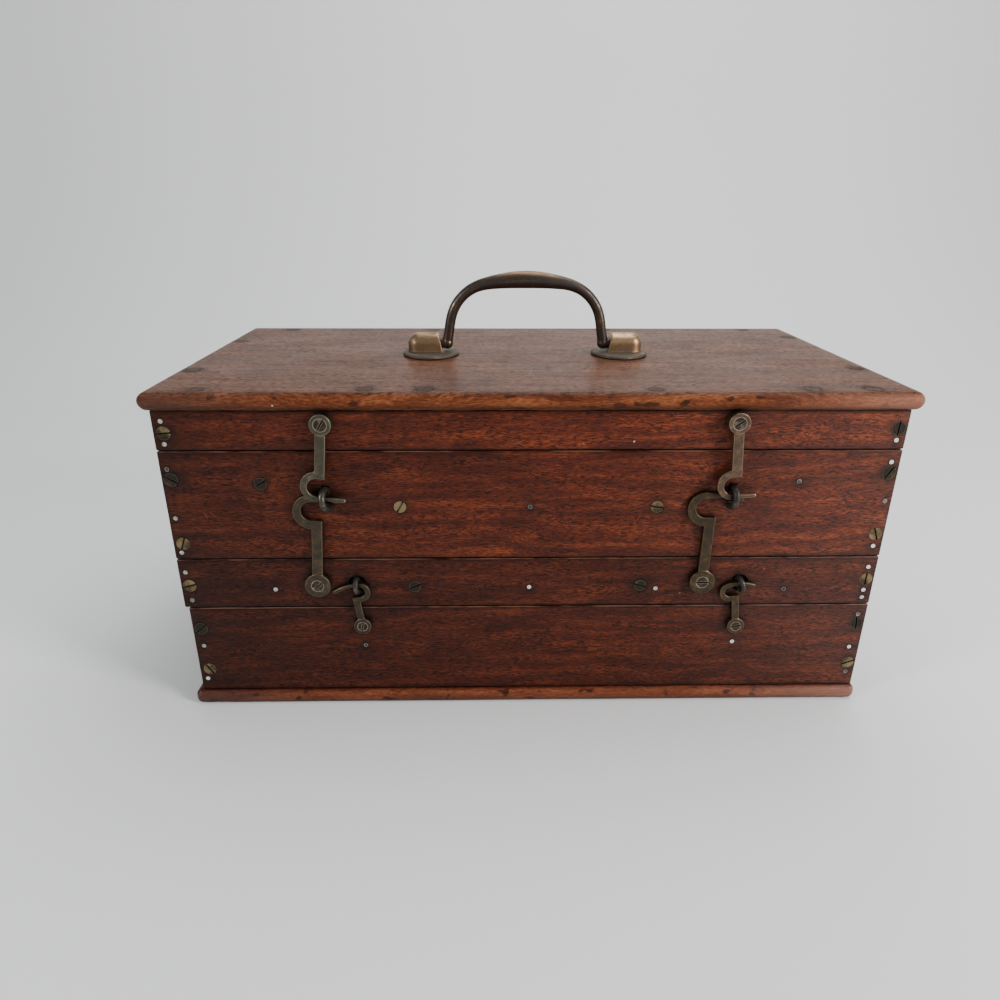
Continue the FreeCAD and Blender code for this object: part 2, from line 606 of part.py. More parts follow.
def faced_set(size, front_spots, back_spots=()):
    """Screws and holes on the front and back faces together."""
    front, front_holes = screw_set(size, front_spots, FRONT)
    back, back_holes = screw_set(size, list(back_spots), BACK)
    return front + back, front_holes + back_holes


# ---------------------------------------------------------------- tiers
def build_bottom(hinge, hooks):
    """The bottom tray, fixed to the nosed base board."""
    boards = frame_boards(BOTTOM_X, BOTTOM_Z)
    ends = (BOTTOM_LEFT_X, RIGHT_X)
    screws, holes = faced_set(CORNER_SCREW, BOTTOM_SCREWS, corner_backs(ends, BOTTOM_BACK_HEIGHTS))
    nails, nail_holes = face_nails(BOTTOM_NAILS, BOTTOM_BRADS)
    sides = (FACE_Y + WALL_MIDDLE, BACK_Y - WALL_MIDDLE)
    under = [(V(x, y, 0), 23.0 * x) for x in BASE_SCREW_X for y in sides]
    under += [(V(x, y, 0), 31.0 * y) for x in ends for y in BASE_SCREW_Y]
    base_screws, base_holes = screw_set(SHELF_SCREW, under, DOWN)
    base = nosed_board(BASE_OVERHANG, (0, BASE_THICK), BASE_ROUND)
    save("base_board", less(base, base_holes))
    save_boards("bottom", "board", boards, holes + nail_holes + base_holes + hinge["cuts"] + hooks["holes"])
    save("bottom_corner_screws", *screws)
    save("bottom_nails", *nails)
    save("base_screws", *base_screws)
    save("small_hook_screws", *hooks["screws"])
    save("bottom_hinge_leaves", *hinge["leaves"])
    save("bottom_hinge_screws", *hinge["screws"])


def build_tray(tier, z, divider_x, screws_at, shelf_at, nails_at, brads_at, back_heights, below, above,
               extra_cuts):
    """A tray with a grooved-in floor and cross dividers, hinged below and above."""
    boards = frame_boards(BODY_X, z)
    screws, holes = faced_set(CORNER_SCREW, screws_at, corner_backs((LEFT_X, RIGHT_X), back_heights))
    shelf, shelf_holes = faced_set(SHELF_SCREW, shelf_at)
    nails, nail_holes = face_nails(nails_at, brads_at)
    cuts = holes + shelf_holes + nail_holes + below["cuts"] + above["cuts"] + extra_cuts
    save_boards(tier, "board", boards, cuts + [floor_block(BODY_X, z[0], HOLE_ROOM)])
    save(tier + "_floor", floor_block(BODY_X, z[0]))
    save(tier + "_dividers", *[less(d, shelf_holes + nail_holes) for d in dividers(divider_x, z)])
    save(tier + "_screws", *(screws + shelf))
    save(tier + "_nails", *nails)
    save(tier + "_lower_leaves", *below["leaves"])
    save(tier + "_upper_leaves", *above["leaves"])
    save(tier + "_hinge_screws", *(below["screws"] + above["screws"]))


def build_lid(hinge, hooks):
    """The lid: four rails under a nosed board, with the handle's lugs bolted through it."""
    rails = frame_boards(BODY_X, RIM_Z)
    screws, holes = faced_set(CORNER_SCREW, RIM_SCREWS, corner_backs((LEFT_X, RIGHT_X), RIM_BACK_HEIGHTS))
    nails, nail_holes = face_nails(RIM_NAILS, [])
    over = [(x, FACE_Y + WALL_MIDDLE) for x in LID_FRONT_PLUGS]
    over += [(x, BACK_Y - WALL_MIDDLE) for x in LID_BACK_PLUGS] + list(LID_END_PLUGS)
    top = LID_Z[1]
    sunk = top - PLUG_THICK
    lid_screws, lid_holes = screw_set(LID_SCREW, [(V(x, y, sunk), 0.0) for x, y in over], UP, 0.1)
    plugs = [rod(PLUG_RADIUS, V(x, y, sunk), V(x, y, top)) for x, y in over]
    plug_holes = [rod(PLUG_RADIUS + HOLE_ROOM, V(x, y, sunk), V(x, y, top + 1)) for x, y in over]
    stud_hole = LUG_STUD_RADIUS + HOLE_ROOM
    stud_holes = [rod(stud_hole, V(x, y, RIM_Z[0]), V(x, y, top + 1)) for x, y in stud_points()]
    board = nosed_board(LID_OVERHANG, LID_Z, LID_ROUND)
    save("lid_board", less(board, plug_holes + lid_holes + stud_holes))
    save_boards("lid", "rail", rails, holes + nail_holes + lid_holes + hinge["cuts"] + hooks["holes"])
    save("lid_corner_screws", *screws)
    save("lid_nails", *nails)
    save("lid_screws", *lid_screws)
    save("lid_plugs", *plugs)
    save("upper_hook_screws", *hooks["screws"])
    save("lid_hinge_leaves", *hinge["leaves"])
    save("lid_hinge_screws", *hinge["screws"])
    save("handle_lugs", handle_lug(-1), handle_lug(1))
    save("lug_nuts", *lug_nuts())
    save("bail_handle", bail_handle())


def hook_pair(name, left, right):
    """Writes a pair of hooks and gathers their pivot screws and holes."""
    hung = [hung_hook(left), hung_hook(right)]
    save(name + "_left_hook", hung[0][0])
    save(name + "_right_hook", hung[1][0])
    return {"screws": [h[1] for h in hung], "holes": [h[2] for h in hung]}


def eye_pair(name, size, left, right):
    """Writes two screw eyes and returns what they cut from the front board."""
    eyes = [screw_eye(size, place) for place in (left, right)]
    save(name, *[eye for eye, cuts in eyes])
    return [cut for eye, cuts in eyes for cut in cuts]


def main():
    joints = [hinge_joint(tier[1] + TIER_GAP / 2) for tier in (BOTTOM_Z, MIDDLE_Z, UPPER_Z)]
    upper_hooks = hook_pair("upper", UPPER_LEFT, UPPER_RIGHT)
    lower_hooks = hook_pair("lower", LOWER_LEFT, LOWER_RIGHT)
    small_hooks = hook_pair("small", SMALL_LEFT, SMALL_RIGHT)
    big_eye_cuts = eye_pair("big_eyes", BIG_EYE, LEFT_EYE, RIGHT_EYE)
    small_eye_cuts = eye_pair("small_eyes", SMALL_EYE, SMALL_LEFT_EYE, SMALL_RIGHT_EYE)
    save("lower_hook_screws", *lower_hooks["screws"])
    build_bottom(joints[0][0], small_hooks)
    build_tray("middle", MIDDLE_Z, MIDDLE_DIVIDERS, MIDDLE_SCREWS, MIDDLE_SHELF_SCREWS, MIDDLE_NAILS,
               MIDDLE_BRADS, MIDDLE_BACK_HEIGHTS, joints[0][1], joints[1][0],
               small_eye_cuts + lower_hooks["holes"])
    build_tray("upper", UPPER_Z, UPPER_DIVIDERS, UPPER_SCREWS, UPPER_SHELF_SCREWS, UPPER_NAILS,
               [], UPPER_BACK_HEIGHTS, joints[1][1], joints[2][0], big_eye_cuts)
    build_lid(joints[2][1], upper_hooks)
    for name, joint in zip(("bottom_hinge_pins", "middle_hinge_pins", "upper_hinge_pins"), joints):
        save(name, *joint[2])


main()
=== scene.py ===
import bmesh
import bpy
import json
import math
import numpy as np
from mathutils import Matrix, Vector, noise


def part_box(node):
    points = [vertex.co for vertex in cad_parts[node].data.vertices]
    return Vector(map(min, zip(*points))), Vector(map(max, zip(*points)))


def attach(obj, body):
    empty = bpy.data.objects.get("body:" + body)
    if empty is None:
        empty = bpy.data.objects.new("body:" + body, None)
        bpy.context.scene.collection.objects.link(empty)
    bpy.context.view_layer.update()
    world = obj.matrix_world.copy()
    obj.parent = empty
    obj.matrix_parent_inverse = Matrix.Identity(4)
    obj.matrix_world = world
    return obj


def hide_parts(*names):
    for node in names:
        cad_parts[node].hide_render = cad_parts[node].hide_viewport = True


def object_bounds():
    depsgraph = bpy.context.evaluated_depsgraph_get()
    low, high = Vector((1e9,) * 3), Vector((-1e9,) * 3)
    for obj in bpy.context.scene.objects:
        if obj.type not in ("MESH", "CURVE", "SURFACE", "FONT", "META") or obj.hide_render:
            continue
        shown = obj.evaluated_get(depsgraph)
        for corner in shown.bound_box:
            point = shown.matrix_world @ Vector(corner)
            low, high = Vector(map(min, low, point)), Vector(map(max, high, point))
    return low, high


# A stacking carpenter's box in oiled mahogany with aged brass fittings. Metres, in the CAD frame: X along
# the box, -Y the front, +Z up. Material patterns are worked out in millimetres of object space.

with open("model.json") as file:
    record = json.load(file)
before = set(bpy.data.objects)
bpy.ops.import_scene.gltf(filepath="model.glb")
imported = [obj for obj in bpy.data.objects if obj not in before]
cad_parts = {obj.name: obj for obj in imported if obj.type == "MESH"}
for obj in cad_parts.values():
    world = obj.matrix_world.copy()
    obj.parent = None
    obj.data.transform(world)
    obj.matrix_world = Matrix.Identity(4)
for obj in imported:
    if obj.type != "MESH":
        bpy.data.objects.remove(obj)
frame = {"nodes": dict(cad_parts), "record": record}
CAD_LOW, CAD_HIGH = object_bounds()
NODES = frame["nodes"]
BODY_OF = {n: b for b, ns in frame["record"]["behaviour"]["bodies"].items() for n in ns}
MM = 0.001
SAME_POINT = 2e-6
CAD_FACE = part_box("upper_front_board")[0][1] / MM

# ------------------------------------------------------------------------------------------ sizes (mm)
HALF_LENGTH = 190.0
BOARD_ARRIS = 0.8
NOSE_ROUND = 4.4
BASE_ROUND = 3.6
GRID_STEP = 4.2
REFINE_REACH = 6.0
HOLE_ROOM = 0.18
LEAF_THICK = 1.4
LEAF_ROOM = 0.1
KNUCKLE_ROUND = 2.65
KNUCKLE_ROOM = 0.15
LUG_FLANGE_TOP = 182.7
# A head this near a face stains it, and one nearer than the second is sunk into it.
HEAD_REACH, HEAD_FLUSH = 8.0, 0.5
# Radius and depth for a small eye, then half width, lowest and highest place and depth for a large one.
SMALL_EYE_RECESS = (4.9, 3.0)
EYE_SLOT = (2.1, (-3.4, 6.3), 4.3)
# Each bent-wire eye: ring and wire radii, how far its middle stands out, the degrees its wire turns, how far
# its end drifts sideways, and its twist about the upright and lean from it on the left and the right.
EYE_SHAPES = {
    "big_eyes": {"ring": 4.8, "wire": 1.8, "out": 2.85, "turn": 292.0, "drift": 2.4, "twist": (0.2, -0.1),
                 "lean": (0.0, 0.04)},
    "small_eyes": {"ring": 3.5, "wire": 1.4, "out": 1.8, "turn": 336.0, "drift": 0.4, "twist": (0.05, -0.2),
                   "lean": (0.04, 0.26)},
}
EYE_SHANK = 8.0


def linear(r, g, b):
    """An 0-255 display colour as linear RGBA."""
    channels = [c / 255 for c in (r, g, b)]
    return tuple(c / 12.92 if c <= 0.04045 else ((c + 0.055) / 1.055) ** 2.4 for c in channels) + (1.0,)


# ------------------------------------------------------------------------------------------ node nets
class Net:
    """A material's node tree, built up by small calls that pass sockets along."""

    def __init__(self, name):
        self.material = bpy.data.materials.new(name)
        self.material.use_nodes = True
        self.tree = self.material.node_tree
        self.tree.nodes.clear()
        output = self.tree.nodes.new("ShaderNodeOutputMaterial")
        self.shader = self.tree.nodes.new("ShaderNodeBsdfPrincipled")
        self.tree.links.new(self.shader.outputs[0], output.inputs["Surface"])

    def put(self, socket, value):
        """Links another socket or sets a value, and leaves the default for None."""
        if isinstance(value, bpy.types.NodeSocket):
            self.tree.links.new(value, socket)
        elif value is not None:
            socket.default_value = value

    def node(self, kind, *values, **settings):
        """A shader node with its first inputs put in order and its settings by name."""
        made = self.tree.nodes.new("ShaderNode" + kind)
        for key, value in settings.items():
            setattr(made, key, value)
        for socket, value in zip(made.inputs, values):
            self.put(socket, value)
        return made

    def math(self, operation, *values, clamp=False):
        return self.node("Math", *values, operation=operation, use_clamp=clamp).outputs[0]

    def vector(self, operation, *values):
        return self.node("VectorMath", *values, operation=operation).outputs[0]

    def scaled(self, vector, x, y, z):
        return self.vector("MULTIPLY", vector, (x, y, z))

    def noise(self, vector, detail=2.0, rough=0.5, twist=0.0):
        made = self.node("TexNoise")
        for key, value in (("Vector", vector), ("Scale", 1.0), ("Detail", detail), ("Roughness", rough),
                           ("Distortion", twist)):
            self.put(made.inputs[key], value)
        return made.outputs["Fac"]

    def step(self, value, low, high):
        """0 below low, 1 above high, smooth between."""
        made = self.node("MapRange", interpolation_type="SMOOTHSTEP")
        for key, v in (("Value", value), ("From Min", low), ("From Max", high)):
            self.put(made.inputs[key], v)
        return made.outputs[0]

    def ramp(self, value, *stops):
        made = self.node("ValToRGB", value)
        ramp = made.color_ramp
        while len(ramp.elements) < len(stops):
            ramp.elements.new(0.5)
        for element, (place, colour) in zip(ramp.elements, stops):
            element.position = place
            element.color = colour
        return made.outputs["Color"]

    def mix(self, share, a, b, blend="MIX"):
        made = self.node("Mix", data_type="RGBA", blend_type=blend, clamp_factor=True)
        self.put(made.inputs["Factor"], share)
        self.put(made.inputs[6], a)
        self.put(made.inputs[7], b)
        return made.outputs[2]

    def shade(self, **values):
        for key, value in values.items():
            self.put(self.shader.inputs[key.replace("_", " ")], value)

    def side_light_ramp(self, here):
        """Painted side light: grey, painted shade at the left end and painted light at the right."""
        along = self.node("SeparateXYZ", here).outputs[0]
        share = self.node("MapRange", along, -HALF_LENGTH, HALF_LENGTH, 0.0, 1.0).outputs[0]
        dark_left, plain_grey, pale_right = (0.52, 0.53, 0.56, 1), (0.95, 0.95, 0.97, 1), (1.12, 1.16, 1.2, 1)
        return self.ramp(share, (0.0, dark_left), (0.5, plain_grey), (1.0, pale_right))

    def normal(self):
        """The object-space normal's x, y and z, which keep to a piece as it moves."""
        return self.node("SeparateXYZ", self.node("TexCoord").outputs["Normal"]).outputs

    def shelter(self, reach):
        """1 in the open and 0 deep in a corner or against another piece within reach millimetres."""
        made = self.node("AmbientOcclusion", samples=4)
        made.inputs["Distance"].default_value = reach * MM
        return made.outputs["AO"]

    def bump(self, height, depth):
        """Bump from a height in 0..1 that is depth millimetres tall."""
        made = self.node("Bump")
        self.put(made.inputs["Height"], height)
        self.put(made.inputs["Distance"], depth * MM)
        self.put(made.inputs["Strength"], 1.0)
        self.put(self.shader.inputs["Normal"], made.outputs[0])

    def place(self, seed):
        """Object space in millimetres, and the same with a seed's offset."""
        here = self.vector("SCALE", self.node("TexCoord").outputs["Object"])
        here.node.inputs["Scale"].default_value = 1000.0
        shift = Vector((37.3, 91.7, 53.1)) * (seed + 1)
        return here, self.vector("ADD", here, tuple(shift))


# ------------------------------------------------------------------------------------------ wood
IRON_STAIN = linear(24, 15, 12)
PALE_ARRIS = linear(156, 114, 92)
SCRATCH = linear(150, 96, 62)
SPECK = linear(205, 196, 184)
# Colours for the darker left end and the paler right end of a nose.
LEFT_END_DARK = linear(56, 42, 40)
RIGHT_END_PALE = linear(170, 124, 108)
ARRIS_DUST = 0.72


def edge_distance(net, here, low, high):
    """Millimetres to the nearest arris of a box: the middle one of the three distances to its faces."""
    centre = (low + high) / 2
    half = (high - low) / 2
    off = net.vector("ABSOLUTE", net.vector("SUBTRACT", here, tuple(centre)))
    room = net.node("SeparateXYZ", net.vector("SUBTRACT", tuple(half), off))
    x, y, z = room.outputs
    least = net.math("MINIMUM", x, y)
    most = net.math("MAXIMUM", x, y)
    return net.math("MAXIMUM", least, net.math("MINIMUM", most, z))


def grain_coords(net, coords, grain):
    """Coordinates that run along the grain first, and wander as the figure of a sawn board does."""
    if grain == 1:
        parts = net.node("SeparateXYZ", coords).outputs
        coords = net.node("CombineXYZ", parts[1], parts[0], parts[2]).outputs[0]
    bend = net.noise(net.scaled(coords, 0.011, 0.03, 0.03), 2.0, 0.5)
    ripple = net.noise(net.scaled(coords, 0.05, 0.09, 0.09), 1.0, 0.5)
    drift = net.math("ADD", net.math("MULTIPLY", bend, 17.0), net.math("MULTIPLY", ripple, 2.6))
    return net.vector("ADD", coords, net.node("CombineXYZ", 0.0, drift, drift).outputs[0])


def open_grain(net, coords, crowd):
    """Dark open pores, 0 to 1, thicker where the wood is crowded with them."""
    pores = net.noise(net.scaled(coords, 0.3, 1.6, 1.6), 2.0, 0.6)
    dashes = net.noise(net.scaled(coords, 0.12, 1.05, 1.05), 2.0, 0.55)
    pore_edge = net.math("SUBTRACT", 0.62, net.math("MULTIPLY", crowd, 0.18))
    pore = net.step(pores, pore_edge, net.math("ADD", pore_edge, 0.06))
    return net.math("MAXIMUM", pore, net.math("MULTIPLY", net.step(dashes, 0.66, 0.74), 0.8))


def nosing(net, here, ends, level, pore, facing, nose, tones):
    """The colour of a rounded front edge: knotted, with painted shade beneath, darker at its left end and
    paler at its right. ends are the board's two ends in millimetres."""
    colour = net.ramp(level, (0.37, nose[0]), (0.5, nose[1]), (0.63, nose[2]))
    knots = net.noise(net.scaled(here, 0.12, 0.2, 0.2), 1.0, 0.4)
    colour = net.mix(net.math("MULTIPLY", net.step(knots, 0.62, 0.7), 0.8), colour, tones[3])
    colour = net.mix(net.math("MULTIPLY", pore, 0.18), colour, tones[3])
    # Painted shade beneath: faces that look down are darkened.
    shade_beneath = net.math("SUBTRACT", 1.0, net.step(facing, -0.7, 0.15))
    colour = net.mix(net.math("MULTIPLY", shade_beneath, 0.62), colour, tones[0])
    # Darker towards the left end and paler towards the right end.
    along = net.node("SeparateXYZ", here).outputs[0]
    dark_left = net.math("SUBTRACT", 1.0, net.step(along, ends[0] + 8, ends[0] + 80))
    colour = net.mix(net.math("MULTIPLY", dark_left, 0.72), colour, LEFT_END_DARK)
    pale_right = net.step(along, ends[1] - 90, ends[1])
    return net.mix(net.math("MULTIPLY", pale_right, 0.36), colour, RIGHT_END_PALE)


def soiled_and_shaded(net, here, near, colour, stain, nosed):
    """Dirt along the arrises, iron stains round fasteners, painted shade in hollows, and the iron's share.
    """
    grime = net.noise(net.scaled(here, 0.11, 0.11, 0.3), 3.0, 0.6)
    if not nosed:
        reach = net.math("ADD", 0.6, net.math("MULTIPLY", grime, 5.0))
        dirt = net.math("SUBTRACT", 1.0, net.step(near, 0.0, reach))
        colour = net.mix(net.math("MULTIPLY", dirt, 0.6), colour, stain)
    marks = net.node("Attribute", attribute_name="stain").outputs["Fac"]
    marks = net.math("MULTIPLY", marks, net.math("ADD", 0.55, grime), clamp=True)
    colour = net.mix(marks, colour, IRON_STAIN)
    # Painted shade in hollows and next to other pieces.
    painted_hollow_shade = net.math("SUBTRACT", 1.0, net.step(net.shelter(5.0), 0.3, 0.92))
    return net.mix(net.math("MULTIPLY", painted_hollow_shade, 0.7), colour, stain), marks


def rubbed(net, here, near, facing, colour, dust):
    """A thin broken pale line where upper arrises are rubbed."""
    rub = net.noise(net.scaled(here, 0.06, 0.06, 0.9), 3.0, 0.6)
    width = net.math("ADD", 0.32, net.math("MULTIPLY", rub, 0.8))
    line = net.math("SUBTRACT", 1.0, net.step(near, 0.08, width))
    line = net.math("MULTIPLY", line, net.step(rub, 0.34, 0.54))
    line = net.math("MULTIPLY", line, net.step(facing, -0.1, 0.5))
    return net.mix(net.math("MULTIPLY", line, dust), colour, PALE_ARRIS)


def scratched(net, here, coords, colour):
    """Short fine scratches and a few pale specks, and where the scratches are."""
    line = net.noise(net.scaled(here, 0.045, 0.05, 0.045), 0.0)
    line = net.math("ABSOLUTE", net.math("SUBTRACT", line, 0.5))
    line = net.math("SUBTRACT", 1.0, net.step(line, 0.0006, 0.0018))
    broken = net.step(net.noise(net.scaled(coords, 0.05, 0.05, 0.05), 2.0), 0.66, 0.74)
    scratch = net.math("MULTIPLY", line, broken)
    colour = net.mix(net.math("MULTIPLY", scratch, 0.4), colour, SCRATCH)
    fleck = net.node("TexVoronoi", voronoi_dimensions="3D")
    net.put(fleck.inputs["Vector"], net.scaled(here, 0.16, 0.16, 0.16))
    net.put(fleck.inputs["Scale"], 1.0)
    lone = net.step(net.node("SeparateColor", fleck.outputs["Color"]).outputs[0], 0.985, 0.99)
    speck = net.math("MULTIPLY", lone, net.math("LESS_THAN", fleck.outputs["Distance"], 0.075))
    return net.mix(net.math("MULTIPLY", speck, 0.7), colour, SPECK), scratch


def wood(name, low, high, grain, tones, seed, nose=None, finish=0.42, painted_side_light=True, relief=0.09, gloss=0.16):
    """Oiled mahogany. low and high are the piece's box in millimetres, grain is the axis it runs along and
    tones are its dark, middle, warm and pore colours. nose holds a rounded edge's colours, finish is how
    rough it is, relief is how many millimetres its bumps stand and gloss is how much it shines. By default
    it is given painted side light: painted shade to the left, painted light and more gloss to the right."""
    net = Net(name)
    here, coords = net.place(seed)
    coords = grain_coords(net, coords, grain)
    figure = net.noise(net.scaled(coords, 0.016, 0.22, 0.22), 4.0, 0.6)
    blotch = net.noise(net.scaled(coords, 0.028, 0.045, 0.06), 3.0, 0.55)
    fibre = net.noise(net.scaled(coords, 0.3, 1.9, 1.9), 2.0, 0.6)
    crowd = net.noise(net.scaled(coords, 0.03, 0.16, 0.16), 2.0, 0.5)
    pore = open_grain(net, coords, crowd)
    level = net.math("ADD", net.math("MULTIPLY", figure, 0.5), net.math("MULTIPLY", fibre, 0.5))
    dark, mid, warm, stain = tones
    colour = net.ramp(level, (0.34, dark), (0.5, mid), (0.66, warm))
    colour = net.mix(net.math("MULTIPLY", net.step(blotch, 0.5, 0.72), 0.5), colour, dark)
    colour = net.mix(net.math("MULTIPLY", pore, 0.7), colour, stain)
    # Painted side light: painted shade to the left and painted light to the right.
    if painted_side_light:
        colour = net.mix(1.0, colour, net.side_light_ramp(here), "MULTIPLY")
    near = edge_distance(net, here, low, high)
    facing = net.normal()[2]
    if nose:
        rim = net.math("SUBTRACT", 1.0, net.step(net.math("ABSOLUTE", facing), 0.55, 0.98))
        nose_level = net.math("ADD", net.math("MULTIPLY", level, 0.8), net.math("MULTIPLY", crowd, 0.2))
        edge = nosing(net, here, (low[0], high[0]), nose_level, pore, facing, nose, tones)
        colour = net.mix(rim, colour, edge)
    colour, marks = soiled_and_shaded(net, here, near, colour, stain, nose)
    colour = rubbed(net, here, near, facing, colour, ARRIS_DUST)
    colour, scratch = scratched(net, here, coords, colour)
    polish = net.noise(net.scaled(here, 0.02, 0.03, 0.03), 3.0, 0.6)
    rough = net.math("ADD", finish - 0.12, net.math("MULTIPLY", polish, 0.24))
    rough = net.math("ADD", rough, net.math("MULTIPLY", pore, 0.12))
    rough = net.math("ADD", rough, net.math("MULTIPLY", marks, 0.15))
    # More gloss towards the right goes with the painted side light.
    if painted_side_light:
        side = net.node("SeparateXYZ", here).outputs[0]
        gloss = net.math("ADD", gloss, net.math("MULTIPLY", net.step(side, 40.0, 190.0), 0.12))
    net.shade(Base_Color=colour, Roughness=rough, Specular_IOR_Level=gloss)
    height = net.math("SUBTRACT", net.math("MULTIPLY", fibre, 0.35), net.math("MULTIPLY", pore, 0.55))
    height = net.math("SUBTRACT", height, net.math("MULTIPLY", scratch, 0.4))
    net.bump(height, relief)
    return net.material


# ------------------------------------------------------------------------------------------ metal
# Dirt and painted shade in a metal's hollows.
METAL_DIRT_AND_SHADE = linear(14, 11, 9)
FLANGE_GREY = linear(76, 73, 67)
GRIP_GOLD = linear(158, 122, 82)


def metal(name, bright, dull, patina, seed, cover=0.5, polish=0.36, scale=0.25, vary=0.0, per_piece=None,
          rim=0.4):
    """Aged metal: a worn bright colour that dulls and turns to patina in patches, brighter on its
    edges from wear and a painted highlight, and darker in its hollows from dirt and painted shade. cover is
    how much of it is bright, polish how rough it is at its best, scale how fine its patches are, vary how
    much it differs from place to place, rim how wide its edges are in millimetres, and per_piece a last
    change to its colour, roughness and metal."""
    net = Net(name)
    here, coords = net.place(seed)
    cloud = net.noise(net.scaled(coords, scale, scale, scale), 5.0, 0.65, 0.4)
    grit = net.noise(net.scaled(coords, scale * 7, scale * 7, scale * 7), 3.0, 0.6)
    flat = net.node("NewGeometry").outputs["Normal"]
    rounded = net.node("Bevel", rim * MM, samples=4).outputs[0]
    bend = net.node("VectorMath", rounded, flat, operation="DOT_PRODUCT").outputs["Value"]
    edges = net.math("SUBTRACT", 1.0, net.step(bend, 0.93, 0.998))
    hollows = net.math("SUBTRACT", 1.0, net.step(net.shelter(1.6), 0.25, 0.8))
    level = net.math("ADD", net.math("MULTIPLY", cloud, 0.75), net.math("MULTIPLY", grit, 0.25))
    if vary:
        slow = net.noise(net.scaled(coords, 0.045, 0.045, 0.045), 0.0)
        lone = net.math("MULTIPLY", net.math("SUBTRACT", slow, 0.5), vary * 2)
        level = net.math("ADD", level, lone)
    aged = net.step(level, cover - 0.14, cover + 0.14)
    colour = net.mix(net.step(level, cover - 0.3, cover), bright, dull)
    colour = net.mix(aged, colour, patina)
    # Edges painted brighter: part wear, part painted highlight.
    colour = net.mix(net.math("MULTIPLY", edges, 0.6), colour, bright)
    # Hollows darkened: part dirt, part painted shade.
    colour = net.mix(net.math("MULTIPLY", hollows, 0.85), colour, METAL_DIRT_AND_SHADE)
    aged = net.math("MULTIPLY", aged, net.math("SUBTRACT", 1.0, net.math("MULTIPLY", edges, 0.6)))
    rough = net.math("ADD", polish, net.math("MULTIPLY", aged, 0.2))
    rough = net.math("ADD", rough, net.math("MULTIPLY", grit, 0.12))
    metallic = net.math("SUBTRACT", 1.0, net.math("MULTIPLY", aged, 0.35))
    if per_piece:
        colour, rough, metallic = per_piece(net, here, colour, rough, metallic)
    net.shade(Base_Color=colour, Roughness=rough, Metallic=metallic)
    net.bump(net.math("ADD", net.math("MULTIPLY", cloud, 0.6), net.math("MULTIPLY", grit, 0.4)), 0.08)
    return net.material


# ------------------------------------------------------------------------------------------ frame reading
def solids(node):
    """The lowest and highest corner, in millimetres, of each separate solid in a CAD node."""
    data = NODES[node].data
    co = np.array([v.co for v in data.vertices])
    _, same = np.unique(np.round(co / SAME_POINT).astype(np.int64), axis=0, return_inverse=True)
    same = same.reshape(-1)
    parent = list(range(same.max() + 1))

    def root(i):
        while parent[i] != i:
            parent[i] = parent[parent[i]]
            i = parent[i]
        return i

    for edge in data.edges:
        a, b = (root(same[v]) for v in edge.vertices)
        parent[a] = b
    label = np.array([root(i) for i in same])
    return [(co[label == k].min(0) / MM, co[label == k].max(0) / MM) for k in np.unique(label)]


def fasteners(node, axis=None):
    """Each screw, nail or plug in a CAD node: its axis, which way its head looks, its head's middle and
    radius, and its length."""
    found = []
    middle = (np.array(CAD_LOW) + np.array(CAD_HIGH)) / 2 / MM
    for low, high in solids(node):
        size = high - low
        along = int(np.argmax(size)) if axis is None else axis
        out = 1 if (low + high)[along] / 2 > middle[along] else -1
        point = (low + high) / 2
        point[along] = high[along] if out > 0 else low[along]
        radius = min(np.delete(size, along)) / 2
        found.append({"axis": along, "out": out, "point": point, "radius": radius, "length": size[along]})
    return found


# ------------------------------------------------------------------------------------------ board meshes
def stations(low, high, radius, arcs, step):
    """Places along a board: even steps, and a rounded run-out at each end, with how far the rounding has
    drawn the section in at each."""
    end = [(radius * (1 - math.cos(math.pi / 2 * i / arcs)), radius * (1 - math.sin(math.pi / 2 * i / arcs)))
           for i in range(arcs + 1)]
    inner = max(2, round((high - low - 2 * radius) / step))
    places = [(low + d, inset) for d, inset in end[:-1]]
    span = high - low - 2 * radius
    places += [(low + radius + span * i / inner, 0.0) for i in range(inner + 1)]
    places += [(high - d, inset) for d, inset in reversed(end[:-1])]
    return places


def section(width, thick, radius, arcs, step):
    """A rounded rectangle's outline: its corner (w, t), then how each point moves when drawn in."""
    points = []
    for quarter, (sw, st) in enumerate(((1, 1), (-1, 1), (-1, -1), (1, -1))):
        hub = (sw * (width / 2 - radius), st * (thick / 2 - radius))
        for i in range(arcs + 1):
            angle = math.pi / 2 * (quarter + i / arcs)
            points.append((hub, (math.cos(angle), math.sin(angle))))
        following = ((-1, 1), (-1, -1), (1, -1), (1, 1))[quarter]
        nearby = (following[0] * (width / 2 - radius), following[1] * (thick / 2 - radius))
        distance = math.dist(hub, nearby)
        count = max(1, round(distance / step))
        normal = points[-1][1]
        for i in range(1, count):
            t = i / count
            points.append(((hub[0] + (nearby[0] - hub[0]) * t, hub[1] + (nearby[1] - hub[1]) * t), normal))
    return points


